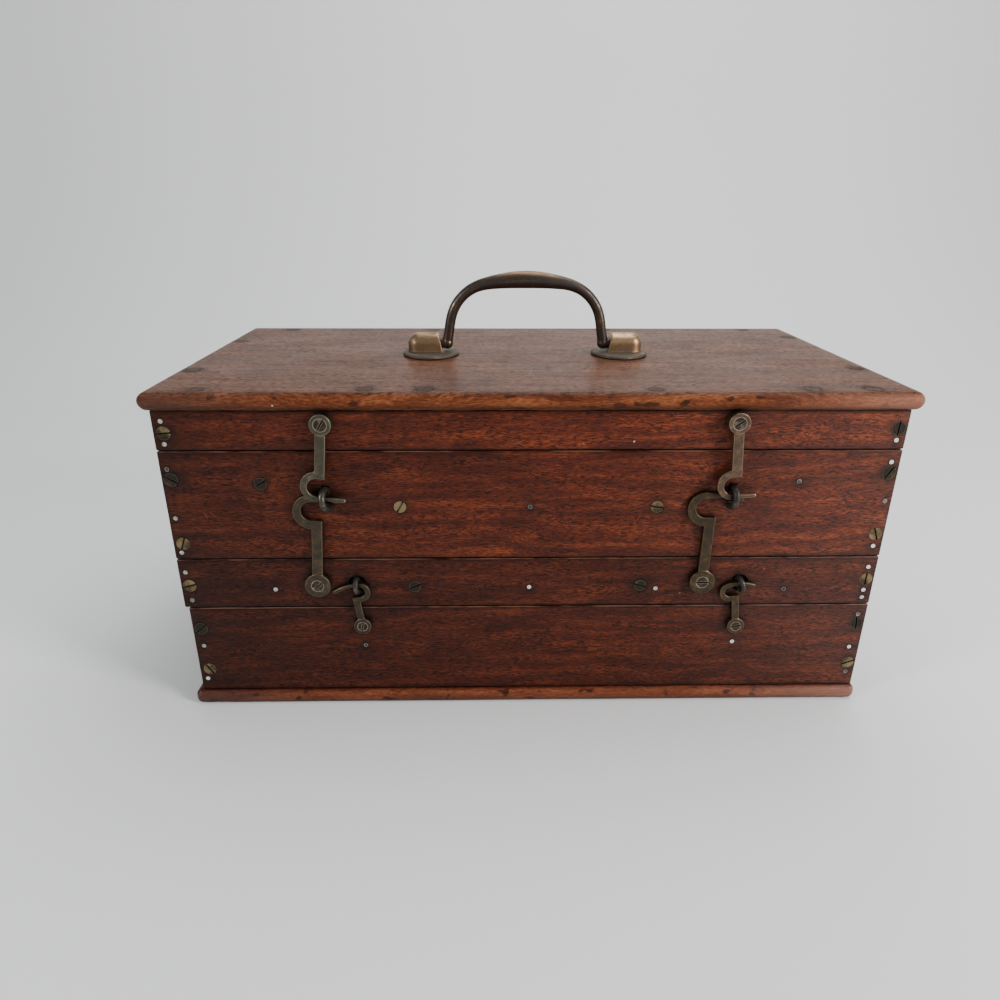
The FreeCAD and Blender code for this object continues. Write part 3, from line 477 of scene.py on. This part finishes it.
def board_mesh(low, high, grain, radius, seed, arcs, wear):
    """A board between two corners (mm), rounded on every arris, its arrises worn and its faces planed by
    hand, as a bmesh in metres."""
    across = [i for i in range(3) if i != grain]
    sizes = high - low
    w_axis, t_axis = sorted(across, key=lambda i: -sizes[i])
    middle = (low + high) / 2
    outline = section(sizes[w_axis], sizes[t_axis], radius, arcs, GRID_STEP)
    rows = stations(low[grain], high[grain], radius, arcs, GRID_STEP)
    mesh = bmesh.new()
    core_low, core_high = low + radius, high - radius
    shift = Vector((seed * 17.3, seed * 5.9, seed * 11.1))
    grid = []
    for place, inset in rows:
        row = []
        for hub, normal in outline:
            point = np.zeros(3)
            point[grain] = place
            point[w_axis] = middle[w_axis] + hub[0] + normal[0] * (radius - inset)
            point[t_axis] = middle[t_axis] + hub[1] + normal[1] * (radius - inset)
            row.append(mesh.verts.new(worn(point, core_low, core_high, shift, grain, wear) * MM))
        grid.append(row)
    count = len(outline)
    for here, ahead in zip(grid, grid[1:]):
        for i in range(count):
            j = (i + 1) % count
            mesh.faces.new((here[i], here[j], ahead[j], ahead[i]))
    mesh.faces.new(reversed(grid[0]))
    mesh.faces.new(grid[-1])
    bmesh.ops.remove_doubles(mesh, verts=mesh.verts, dist=1e-6)
    bmesh.ops.recalc_face_normals(mesh, faces=mesh.faces)
    return mesh


def worn(point, core_low, core_high, shift, grain, wear):
    """A surface point moved inwards: slightly and slowly on faces, and in rubs and nicks on arrises."""
    away = Vector(point - np.clip(point, core_low, core_high))
    if away.length < 1e-9:
        return Vector(point)
    away.normalize()
    edge = min(1.0, (1 - max(abs(c) for c in away)) / 0.29)
    p = Vector(point)
    slow = p.copy()
    slow[grain] *= 0.35
    planed = 0.10 * (0.5 + 0.5 * noise.noise(slow * 0.05 + shift))
    rub = 0.5 + 0.5 * noise.noise(p * 0.035 + shift)
    nick = max(0.0, noise.noise(p * 0.21 + shift) - 0.3) * 2.2
    return p - away * (planed + edge * wear * (0.45 * rub + nick))


def lathe(outline, axis, out, point, sides=28):
    """A closed turned shape as (vertices, faces). outline is (depth, radius) pairs from the mouth in."""
    others = [i for i in range(3) if i != axis]
    vertices, faces = [], []
    for depth, radius in outline:
        for k in range(sides):
            angle = 2 * math.pi * k / sides
            place = np.array(point, float)
            place[axis] -= out * depth
            place[others[0]] += radius * math.cos(angle)
            place[others[1]] += radius * math.sin(angle)
            vertices.append(place * MM)
    for row in range(len(outline) - 1):
        for k in range(sides):
            a, b = row * sides + k, row * sides + (k + 1) % sides
            faces.append((a, b, b + sides, a + sides))
    faces.append(tuple(range(sides)))
    faces.append(tuple(range((len(outline) - 1) * sides, len(outline) * sides)))
    return vertices, faces


def brick(low, high):
    """A box as (vertices, faces)."""
    corners = [(x, y, z) for x in (low[0], high[0]) for y in (low[1], high[1]) for z in (low[2], high[2])]
    faces = [(0, 1, 3, 2), (4, 6, 7, 5), (0, 4, 5, 1), (2, 3, 7, 6), (0, 2, 6, 4), (1, 5, 7, 3)]
    return [np.array(c) * MM for c in corners], faces


def mesh_object(name, shapes):
    """An object holding several (vertices, faces) shapes with outward normals."""
    mesh = bmesh.new()
    for vertices, faces in shapes:
        made = [mesh.verts.new(v) for v in vertices]
        for face in faces:
            mesh.faces.new([made[i] for i in face])
    bmesh.ops.recalc_face_normals(mesh, faces=mesh.faces)
    return finished(name, mesh)


def finished(name, mesh):
    """A linked object from a bmesh."""
    data = bpy.data.meshes.new(name)
    mesh.to_mesh(data)
    mesh.free()
    made = bpy.data.objects.new(name, data)
    bpy.context.scene.collection.objects.link(made)
    return made


def carve(target, cutter):
    """Takes a cutter out of a piece and bakes the result into the piece's mesh."""
    modifier = target.modifiers.new("carve", "BOOLEAN")
    modifier.object = cutter
    modifier.operation = "DIFFERENCE"
    modifier.solver = "EXACT"
    baked = bpy.data.meshes.new_from_object(target.evaluated_get(bpy.context.evaluated_depsgraph_get()))
    target.modifiers.clear()
    target.data = baked
    bpy.data.objects.remove(cutter)


def refine(mesh, spots):
    """Subdivides a board's grid round its fasteners, so that stains and hollows there are fine."""
    for reach in (REFINE_REACH, REFINE_REACH * 0.7):
        edges = [edge for edge in mesh.edges
                 if any(all((v.co / MM - spot).length < reach for v in edge.verts) for spot in spots)]
        if edges:
            bmesh.ops.subdivide_edges(mesh, edges=edges, cuts=1, use_grid_fill=True)


# ------------------------------------------------------------------------------------------ boards
SCREW_NODES = [n for n in NODES if n.endswith("screws") and "hinge" not in n]
NAIL_NODES = [n for n in NODES if n.endswith("nails")]
FIXINGS = {n: fasteners(n) for n in SCREW_NODES + NAIL_NODES}
FIXINGS["lid_plugs"] = fasteners("lid_plugs", axis=2)
LEAVES = {n: solids(n) for n in NODES if n.endswith("leaves")}
EYES = {n: solids(n) for n in ("big_eyes", "small_eyes")}
JOINTS = frame["record"]["behaviour"]["joints"]
HINGE_LINES = [np.array(joint["pos_m"]) / MM for joint in JOINTS if joint["name"].endswith("hinge")]


def board_cutters(node, low, high):
    """What is cut from a board, and the fastener heads that stain it as (point, radius)."""
    shapes, spots = [], []
    for name, found in FIXINGS.items():
        if BODY_OF[name] != BODY_OF[node] or name == "lid_screws":
            continue
        for f in found:
            others = [i for i in range(3) if i != f["axis"]]
            inside = all(low[i] - 0.01 < f["point"][i] < high[i] + 0.01 for i in others)
            face = (high if f["out"] > 0 else low)[f["axis"]]
            if not inside or abs(f["point"][f["axis"]] - face) > HEAD_REACH:
                continue
            spots.append((Vector(f["point"]), f["radius"]))
            if abs(f["point"][f["axis"]] - face) > HEAD_FLUSH:
                continue
            r = f["radius"] + HOLE_ROOM
            deep = f["length"] + 0.5
            if name.endswith("screws"):
                profile = [(-1, r), (0, r), (0.15, r), (r * 0.55, r * 0.5), (deep, r * 0.5)]
            else:
                profile = [(-1, r), (deep, r)]
            shapes.append(lathe(profile, f["axis"], f["out"], f["point"]))
    for name, found in LEAVES.items():
        for leaf_low, leaf_high in found:
            top = abs(leaf_low[2] - high[2]) < 4
            bottom = abs(leaf_high[2] - low[2]) < 4
            if BODY_OF[name] != BODY_OF[node] or not (top or bottom) or high[1] < leaf_high[1] - 8:
                continue
            deep = LEAF_THICK + LEAF_ROOM
            z = (high[2] - deep, high[2] + 1) if top else (low[2] - 1, low[2] + deep)
            corner = (leaf_low[0] - LEAF_ROOM, leaf_low[1] - LEAF_ROOM, z[0])
            shapes.append(brick(corner, (leaf_high[0] + LEAF_ROOM, high[1] + 1, z[1])))
    for name, found in EYES.items():
        for eye_low, eye_high in found:
            x, z = (eye_low[0] + eye_high[0]) / 2, (eye_low[2] + eye_high[2]) / 2
            if BODY_OF[name] != BODY_OF[node] or not node.endswith("front_board"):
                continue
            point = (x, low[1], z)
            if name == "big_eyes":
                half, tall, deep = EYE_SLOT
                corner = (x - half, low[1] - 1, z + tall[0])
                shapes.append(brick(corner, (x + half, low[1] + deep, z + tall[1])))
                spots.append((Vector(point), half))
            else:
                radius, deep = SMALL_EYE_RECESS
                profile = [(-1, radius), (0, radius), (0.5, radius - 0.4), (deep, radius - 0.9)]
                shapes.append(lathe(profile, 1, -1, point, 40))
                spots.append((Vector(point), radius))
    return shapes, spots


def knuckle_grooves(node, low, high):
    """Round grooves across a back board's edges for the knuckles of the hinges there."""
    shapes = []
    if not node.endswith(("back_board", "back_rail")):
        return shapes
    for name, found in LEAVES.items():
        for leaf_low, leaf_high in found:
            if BODY_OF[name] == BODY_OF[node]:
                continue
            line = min(HINGE_LINES, key=lambda p: abs(p[2] - (leaf_low[2] + leaf_high[2]) / 2))
            if min(abs(line[2] - low[2]), abs(line[2] - high[2])) < LEAF_THICK:
                length = leaf_high[0] - leaf_low[0]
                profile = [(-KNUCKLE_ROOM, KNUCKLE_ROUND), (length + KNUCKLE_ROOM, KNUCKLE_ROUND)]
                shapes.append(lathe(profile, 0, -1, (leaf_low[0], line[1], line[2])))
    return shapes


def eye_path(shape, x, z, right):
    """A screw eye's wire from its end in the board, over the top, down the front and off to one side, as
    (point, radius)."""
    ring, wire = shape["ring"], shape["wire"]
    centre_y = CAD_FACE - shape["out"]
    away = -shape["drift"] if right else shape["drift"]
    twist, lean = shape["twist"][right], shape["lean"][right]
    path = [(Vector((x + twist * ring, centre_y + ring + EYE_SHANK, z)), wire * 0.8),
            (Vector((x + twist * ring, centre_y + ring + 2.0, z)), wire * 0.9)]
    for degrees in np.arange(14.0, shape["turn"] + 1, 9.0):
        angle = math.radians(degrees)
        late = max(0.0, (degrees - 60.0) / (shape["turn"] - 60.0)) ** 2.2
        out_y, up_z = ring * math.cos(angle), ring * math.sin(angle)
        radius = wire * (1.0 - 0.18 * max(0.0, (degrees - 250.0) / (shape["turn"] - 250.0)))
        place = Vector((x + away * late + twist * out_y - lean * up_z, centre_y + out_y, z + up_z))
        path.append((place, radius))
    return path


def sweep(mesh, path, sides=20):
    """A round bar along (point, radius) places in millimetres, domed at both ends."""
    points = [p for p, _ in path]
    rows = []
    across = Vector((1, 0, 0))
    for i, (point, radius) in enumerate(path):
        along = (points[min(i + 1, len(points) - 1)] - points[max(i - 1, 0)]).normalized()
        side = (across - along * across.dot(along)).normalized()
        other = along.cross(side)
        last = i in (0, len(path) - 1)
        for shrink, push in (((0.55, 0.55), (0.85, 0.3)) if i == 0 else ()):
            rows.append((point - along * push * radius, radius * shrink, side, other))
        rows.append((point, radius, side, other))
        if last and i:
            rows.append((point + along * 0.3 * radius, radius * 0.85, side, other))
            rows.append((point + along * 0.55 * radius, radius * 0.55, side, other))
    loops = []
    for point, radius, side, other in rows:
        turns = [2 * math.pi * k / sides for k in range(sides)]
        loops.append([mesh.verts.new((point + (side * math.cos(a) + other * math.sin(a)) * radius) * MM)
                      for a in turns])
    for here, ahead in zip(loops, loops[1:]):
        for k in range(sides):
            j = (k + 1) % sides
            mesh.faces.new((here[k], here[j], ahead[j], ahead[k]))
    mesh.faces.new(list(reversed(loops[0])))
    mesh.faces.new(loops[-1])
    bmesh.ops.recalc_face_normals(mesh, faces=mesh.faces)


def build_eyes(node, material):
    """A pair of screw eyes as bent wire in place of their plain rings."""
    mesh = bmesh.new()
    for low, high in EYES[node]:
        x, z = (low[0] + high[0]) / 2, (low[2] + high[2]) / 2
        pair_middle = sum(c[0] for pair in EYES[node] for c in pair) / 4
        sweep(mesh, eye_path(EYE_SHAPES[node], x, z, int(x > pair_middle)))
    piece = finished(node + "_wire", mesh)
    piece.data.polygons.foreach_set("use_smooth", [True] * len(piece.data.polygons))
    piece.data.materials.append(material)
    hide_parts(node)
    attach(piece, BODY_OF[node])


def mark_stains(data, spots, seed):
    """Marks dark stains round fastener heads in the mesh's stain attribute."""
    co = np.zeros(len(data.vertices) * 3)
    data.vertices.foreach_get("co", co)
    co = co.reshape(-1, 3) / MM
    mark = np.zeros(len(co))
    for i, (point, radius) in enumerate(spots):
        away = np.linalg.norm(co - np.array(point), axis=1)
        strength = 0.72 + 0.25 * math.sin(i * 2.4 + seed)
        spread = 1.9 + 0.9 * math.sin(i * 1.7 + seed * 3)
        mark = np.maximum(mark, strength * np.exp(-np.clip(away - radius, 0, None) / spread))
    attribute = data.attributes.new("stain", "FLOAT", "POINT")
    attribute.data.foreach_set("value", mark)


CASE_TONES = (linear(58, 23, 14), linear(89, 37, 20), linear(134, 63, 33), linear(26, 11, 8))
TIER_SHADES = {"lid": 1.1, "upper": 0.98, "middle": 0.68, "bottom": 0.7}
LID_TONES = (linear(64, 38, 27), linear(103, 65, 46), linear(138, 93, 68), linear(38, 24, 18))
NOSE_TONES = (linear(72, 35, 22), linear(116, 62, 38), linear(158, 98, 62))
BASE_TONES = (linear(76, 37, 23), linear(114, 59, 37), linear(144, 84, 53))
INNER_TONES = (linear(112, 66, 40), linear(150, 98, 62), linear(178, 126, 84), linear(70, 40, 26))


def build_boards():
    """Every board of the case as its own worn, carved mesh in place of its plain CAD solid."""
    for seed, node in enumerate(n for n in NODES if n.endswith(("_board", "_rail"))):
        low, high = (np.array(c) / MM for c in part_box(node))
        nosed = node in ("lid_board", "base_board")
        top = node == "lid_board"
        grain = 1 if node.split("_")[1] in ("left", "right") else 0
        radius = {"lid_board": NOSE_ROUND, "base_board": BASE_ROUND}.get(node, BOARD_ARRIS)
        shapes, spots = board_cutters(node, low, high)
        arcs, wear = (8, 0.5) if nosed else (4, 0.35)
        mesh = board_mesh(low, high, grain, radius, seed, arcs, wear)
        refine(mesh, [point for point, _ in spots])
        piece = finished(node + "_worn", mesh)
        if shapes:
            carve(piece, mesh_object("cutter", shapes))
        grooves = knuckle_grooves(node, low, high)
        if grooves:
            carve(piece, mesh_object("groove_cutter", grooves))
        mark_stains(piece.data, spots, seed)
        piece.data.polygons.foreach_set("use_smooth", [True] * len(piece.data.polygons))
        piece.data.set_sharp_from_angle(angle=math.radians(38))
        if nosed:
            tones, nose = (LID_TONES, NOSE_TONES) if top else (CASE_TONES, BASE_TONES)
            sheen = {"relief": 0.05, "gloss": 0.07} if top else {}
            material = wood(node, low, high, grain, tones, seed, nose, finish=0.36, painted_side_light=not top, **sheen)
        else:
            share = TIER_SHADES[node.split("_")[0]]
            tones = [tuple(c * share for c in tone[:3]) + (1.0,) for tone in CASE_TONES]
            material = wood(node, low, high, grain, tones, seed)
        piece.data.materials.clear()
        piece.data.materials.append(material)
        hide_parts(node)
        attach(piece, BODY_OF[node])


# ------------------------------------------------------------------------------------------ kept CAD nodes
def dress(node, material, *modifiers):
    """Gives a CAD node its material and modifiers as (type, settings)."""
    piece = NODES[node]
    piece.data.materials.clear()
    piece.data.materials.append(material)
    for kind, settings in modifiers:
        modifier = piece.modifiers.new(kind.lower(), kind)
        for key, value in settings.items():
            setattr(modifier, key, value)


WELD = ("WELD", {"merge_threshold": SAME_POINT})


def soft_edge(width):
    """Modifiers that join a CAD mesh's faces and round its sharp edges."""
    return WELD, ("BEVEL", {"width": width * MM, "segments": 2, "limit_method": "ANGLE",
                            "angle_limit": math.radians(35), "harden_normals": False})


def recast(voxel, passes):
    """Modifiers that turn a CAD mesh into one evenly meshed casting with softened edges."""
    return WELD, ("REMESH", {"mode": "VOXEL", "voxel_size": voxel * MM, "use_smooth_shade": True}), (
        "SMOOTH", {"factor": 0.5, "iterations": passes})


HOOK_TONES = {
    "upper_left": (linear(127, 118, 97), linear(88, 82, 67), linear(64, 60, 50)),
    "lower_left": (linear(114, 101, 79), linear(78, 68, 53), linear(53, 46, 38)),
    "small_left": (linear(107, 94, 74), linear(72, 61, 49), linear(49, 40, 34)),
    "upper_right": (linear(144, 120, 96), linear(106, 86, 70), linear(72, 58, 47)),
    "lower_right": (linear(109, 90, 66), linear(73, 61, 43), linear(48, 40, 30)),
    "small_right": (linear(116, 96, 72), linear(81, 67, 51), linear(52, 42, 33)),
}
EYE_TONES = (linear(186, 178, 168), linear(98, 90, 80), linear(50, 46, 42))
SCREW_TONES = (linear(132, 115, 86), linear(76, 65, 48), linear(38, 34, 29))
PIVOT_TONES = (linear(176, 164, 148), linear(72, 58, 46), linear(42, 34, 28))
HINGE_TONES = (linear(152, 126, 84), linear(110, 92, 62), linear(66, 57, 43))
BAIL_TONES = (linear(190, 168, 142), linear(104, 88, 75), linear(64, 56, 53))
LUG_TONES = (linear(208, 172, 134), linear(160, 129, 98), linear(98, 82, 67))
NAIL_TONES = (linear(228, 226, 222), linear(168, 162, 154), linear(70, 62, 56))
PIN_TONES = (linear(150, 146, 138), linear(110, 104, 96), linear(70, 62, 54))
PLUG_TONES = (linear(54, 36, 28), linear(76, 52, 40), linear(98, 70, 53), linear(34, 23, 18))


def flange_patina(net, here, colour, rough, metallic):
    """A lug's flat flange is greyer and duller than its rubbed dome."""
    height = net.node("SeparateXYZ", here).outputs[2]
    low = net.math("SUBTRACT", 1.0, net.step(height, LUG_FLANGE_TOP - 0.4, LUG_FLANGE_TOP + 2.2))
    colour = net.mix(net.math("MULTIPLY", low, 0.8), colour, FLANGE_GREY)
    return colour, net.math("ADD", rough, net.math("MULTIPLY", low, 0.15)), metallic


def grip_rub(net, here, colour, rough, metallic):
    """The middle of the bail's grip is rubbed to a golden shine."""
    across = net.node("SeparateXYZ", here).outputs[0]
    middle = net.math("SUBTRACT", 1.0, net.step(net.math("ABSOLUTE", across), 5.0, 26.0))
    facing = net.normal()[2]
    rub = net.math("MULTIPLY", net.math("MULTIPLY", middle, net.step(facing, 0.3, 0.95)), 0.55)
    return net.mix(rub, colour, GRIP_GOLD), rough, metallic


def plate_rim(bright):
    """A flat hook's rounded outline is rubbed bright and painted with a highlight all the way round."""
    def change(net, here, colour, rough, metallic):
        flat = net.math("ABSOLUTE", net.normal()[1])
        # Painted highlight and rubbing along the rounded rim.
        band = net.math("SUBTRACT", net.step(flat, 0.1, 0.4), net.step(flat, 0.86, 0.99))
        return net.mix(net.math("MULTIPLY", band, 0.7), colour, bright), rough, metallic
    return change


def dress_nodes():
    """Materials and edge softening for every CAD node that stays."""
    hooks = {}
    for i, (name, tones) in enumerate(HOOK_TONES.items()):
        hooks[name] = metal("hook_brass_" + name, *tones, 1 + i, cover=0.49, polish=0.28,
                            per_piece=plate_rim(tones[0]))
    eye = metal("eye_brass", *EYE_TONES, 13, cover=0.46, polish=0.26)
    screw = metal("screw_brass", *SCREW_TONES, 14, cover=0.5, vary=0.8, rim=0.3)
    pivot = metal("pivot_brass", *PIVOT_TONES, 18, cover=0.5, polish=0.3, rim=0.5)
    hinge = metal("hinge_brass", *HINGE_TONES, 5, cover=0.56)
    bail = metal("bail_bronze", *BAIL_TONES, 6, cover=0.44, polish=0.2, scale=0.1, per_piece=grip_rub)
    lug = metal("lug_bronze", *LUG_TONES, 16, cover=0.52, polish=0.34, scale=0.1, per_piece=flange_patina)
    nail = metal("nail_metal", *NAIL_TONES, 17, cover=0.62, polish=0.4, vary=0.6)
    pin = metal("pin_steel", *PIN_TONES, 8)
    for node in NODES:
        slot = NODES[node].data.materials[0].name
        if node.endswith("_hook"):
            dress(node, hooks[node[:-len("_hook")]], *recast(0.24, 5))
        elif node.endswith("_eyes"):
            build_eyes(node, eye)
        elif node == "handle_lugs":
            dress(node, lug, *recast(0.36, 9))
        elif node == "bail_handle":
            dress(node, bail, *recast(0.4, 5))
        elif node.endswith("leaves"):
            dress(node, hinge, *soft_edge(0.3))
        elif node.endswith("hinge_screws"):
            dress(node, hinge, *soft_edge(0.12))
        elif node.endswith("hook_screws"):
            dress(node, pivot, *soft_edge(0.2))
        elif node.endswith("screws"):
            dress(node, screw, *soft_edge(0.18))
        elif node.endswith("nails"):
            dress(node, nail, *soft_edge(0.25))
        elif node.endswith("pins") or node == "lug_nuts":
            dress(node, pin, *soft_edge(0.3))
        elif node == "lid_plugs":
            low, high = (np.array(c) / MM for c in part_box(node))
            dress(node, wood("plug_wood", low, high, 0, PLUG_TONES, 31, painted_side_light=False, gloss=0.05), WELD)
        elif node.endswith(("_floor", "_dividers")):
            low, high = (np.array(c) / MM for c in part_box(node))
            grain = 1 if node.endswith("dividers") else 0
            dress(node, wood(node, low, high, grain, INNER_TONES, 40 + len(node), finish=0.55), WELD)


# ------------------------------------------------------------------------------------------ stage
CAMERA_PLACE = Vector((-0.02325591, -0.43681259, 0.26638588))
CAMERA_YAW, CAMERA_PITCH, CAMERA_ROLL = 0.01986188, 0.39131203, 0.00424571
CAMERA_LENS = 26.262
FLOOR_FRONT, FLOOR_BACK, FLOOR_SIDE = -3.0, 0.45, 4.0
FLOOR_CURVE, CURVE_STEPS = 0.5, 14
BACKDROP_TOP = 3.2
BACKDROP_COLOUR = linear(246, 246, 245)
SKY_COLOUR, SKY_STRENGTH = linear(222, 226, 228), 0.3
# Each light's name, place, aim, size, power in watts and colour.
LIGHTS = (
    ("overhead", (0.3, 0.25, 1.25), (0, 0.05, 0.1), (1.2, 0.8), 11.0, (0.97, 0.985, 1.0)),
    ("right", (1.05, -0.7, 0.62), (0.05, 0, 0.08), (0.35, 0.45), 15.0, (1.0, 0.98, 0.97)),
    ("left", (-1.0, -0.62, 0.62), (-0.05, 0, 0.08), (0.28, 0.36), 6.0, (0.95, 0.98, 1.0)),
)


def build_camera():
    """The camera, looking down at the front a little left of the middle."""
    yaw, pitch, roll = CAMERA_YAW, CAMERA_PITCH, CAMERA_ROLL
    ahead = Vector((math.sin(yaw) * math.cos(pitch), math.cos(yaw) * math.cos(pitch), -math.sin(pitch)))
    right = Vector((math.cos(yaw), -math.sin(yaw), 0))
    up = right.cross(ahead)
    level_right = right * math.cos(roll) + up * math.sin(roll)
    level_up = up * math.cos(roll) - right * math.sin(roll)
    data = bpy.data.cameras.new("camera")
    data.sensor_width = 36.0
    data.lens = CAMERA_LENS
    data.clip_start = 0.01
    camera = bpy.data.objects.new("camera", data)
    turned = Matrix((level_right, level_up, -ahead)).transposed().to_4x4()
    camera.matrix_world = Matrix.Translation(CAMERA_PLACE) @ turned
    bpy.context.scene.collection.objects.link(camera)
    bpy.context.scene.camera = camera


def area_light(name, place, aim, size, power, colour):
    """A soft rectangular light pointed at a place."""
    data = bpy.data.lights.new(name, "AREA")
    data.shape = "RECTANGLE"
    data.size, data.size_y = size
    data.energy = power
    data.color = colour
    light = bpy.data.objects.new(name, data)
    light.location = place
    light.rotation_euler = (Vector(aim) - Vector(place)).to_track_quat("-Z", "Y").to_euler()
    bpy.context.scene.collection.objects.link(light)


def plain(name, colour, rough):
    """A matt material of one colour."""
    net = Net(name)
    net.shade(Base_Color=colour, Roughness=rough, Specular_IOR_Level=0.2)
    return net.material


def build_stage():
    """A pale floor that curves up into a backdrop, and soft lights."""
    mesh = bmesh.new()
    profile = [(FLOOR_FRONT, 0.0), (FLOOR_BACK, 0.0)]
    for a in np.linspace(0.1, math.pi / 2, CURVE_STEPS):
        profile.append((FLOOR_BACK + FLOOR_CURVE * math.sin(a), FLOOR_CURVE * (1 - math.cos(a))))
    profile.append((FLOOR_BACK + FLOOR_CURVE, BACKDROP_TOP))
    rows = [[mesh.verts.new((x, y, z)) for y, z in profile] for x in (-FLOOR_SIDE, FLOOR_SIDE)]
    for i in range(len(profile) - 1):
        mesh.faces.new((rows[0][i], rows[1][i], rows[1][i + 1], rows[0][i + 1]))
    backdrop = finished("backdrop", mesh)
    backdrop.data.polygons.foreach_set("use_smooth", [True] * len(backdrop.data.polygons))
    backdrop.data.materials.append(plain("backdrop", BACKDROP_COLOUR, 0.8))
    world = bpy.data.worlds.new("world")
    world.use_nodes = True
    world.node_tree.nodes["Background"].inputs[0].default_value = SKY_COLOUR
    world.node_tree.nodes["Background"].inputs[1].default_value = SKY_STRENGTH
    bpy.context.scene.world = world
    for light in LIGHTS:
        area_light(*light)


build_boards()
dress_nodes()
build_stage()
build_camera()
bpy.context.view_layer.update()
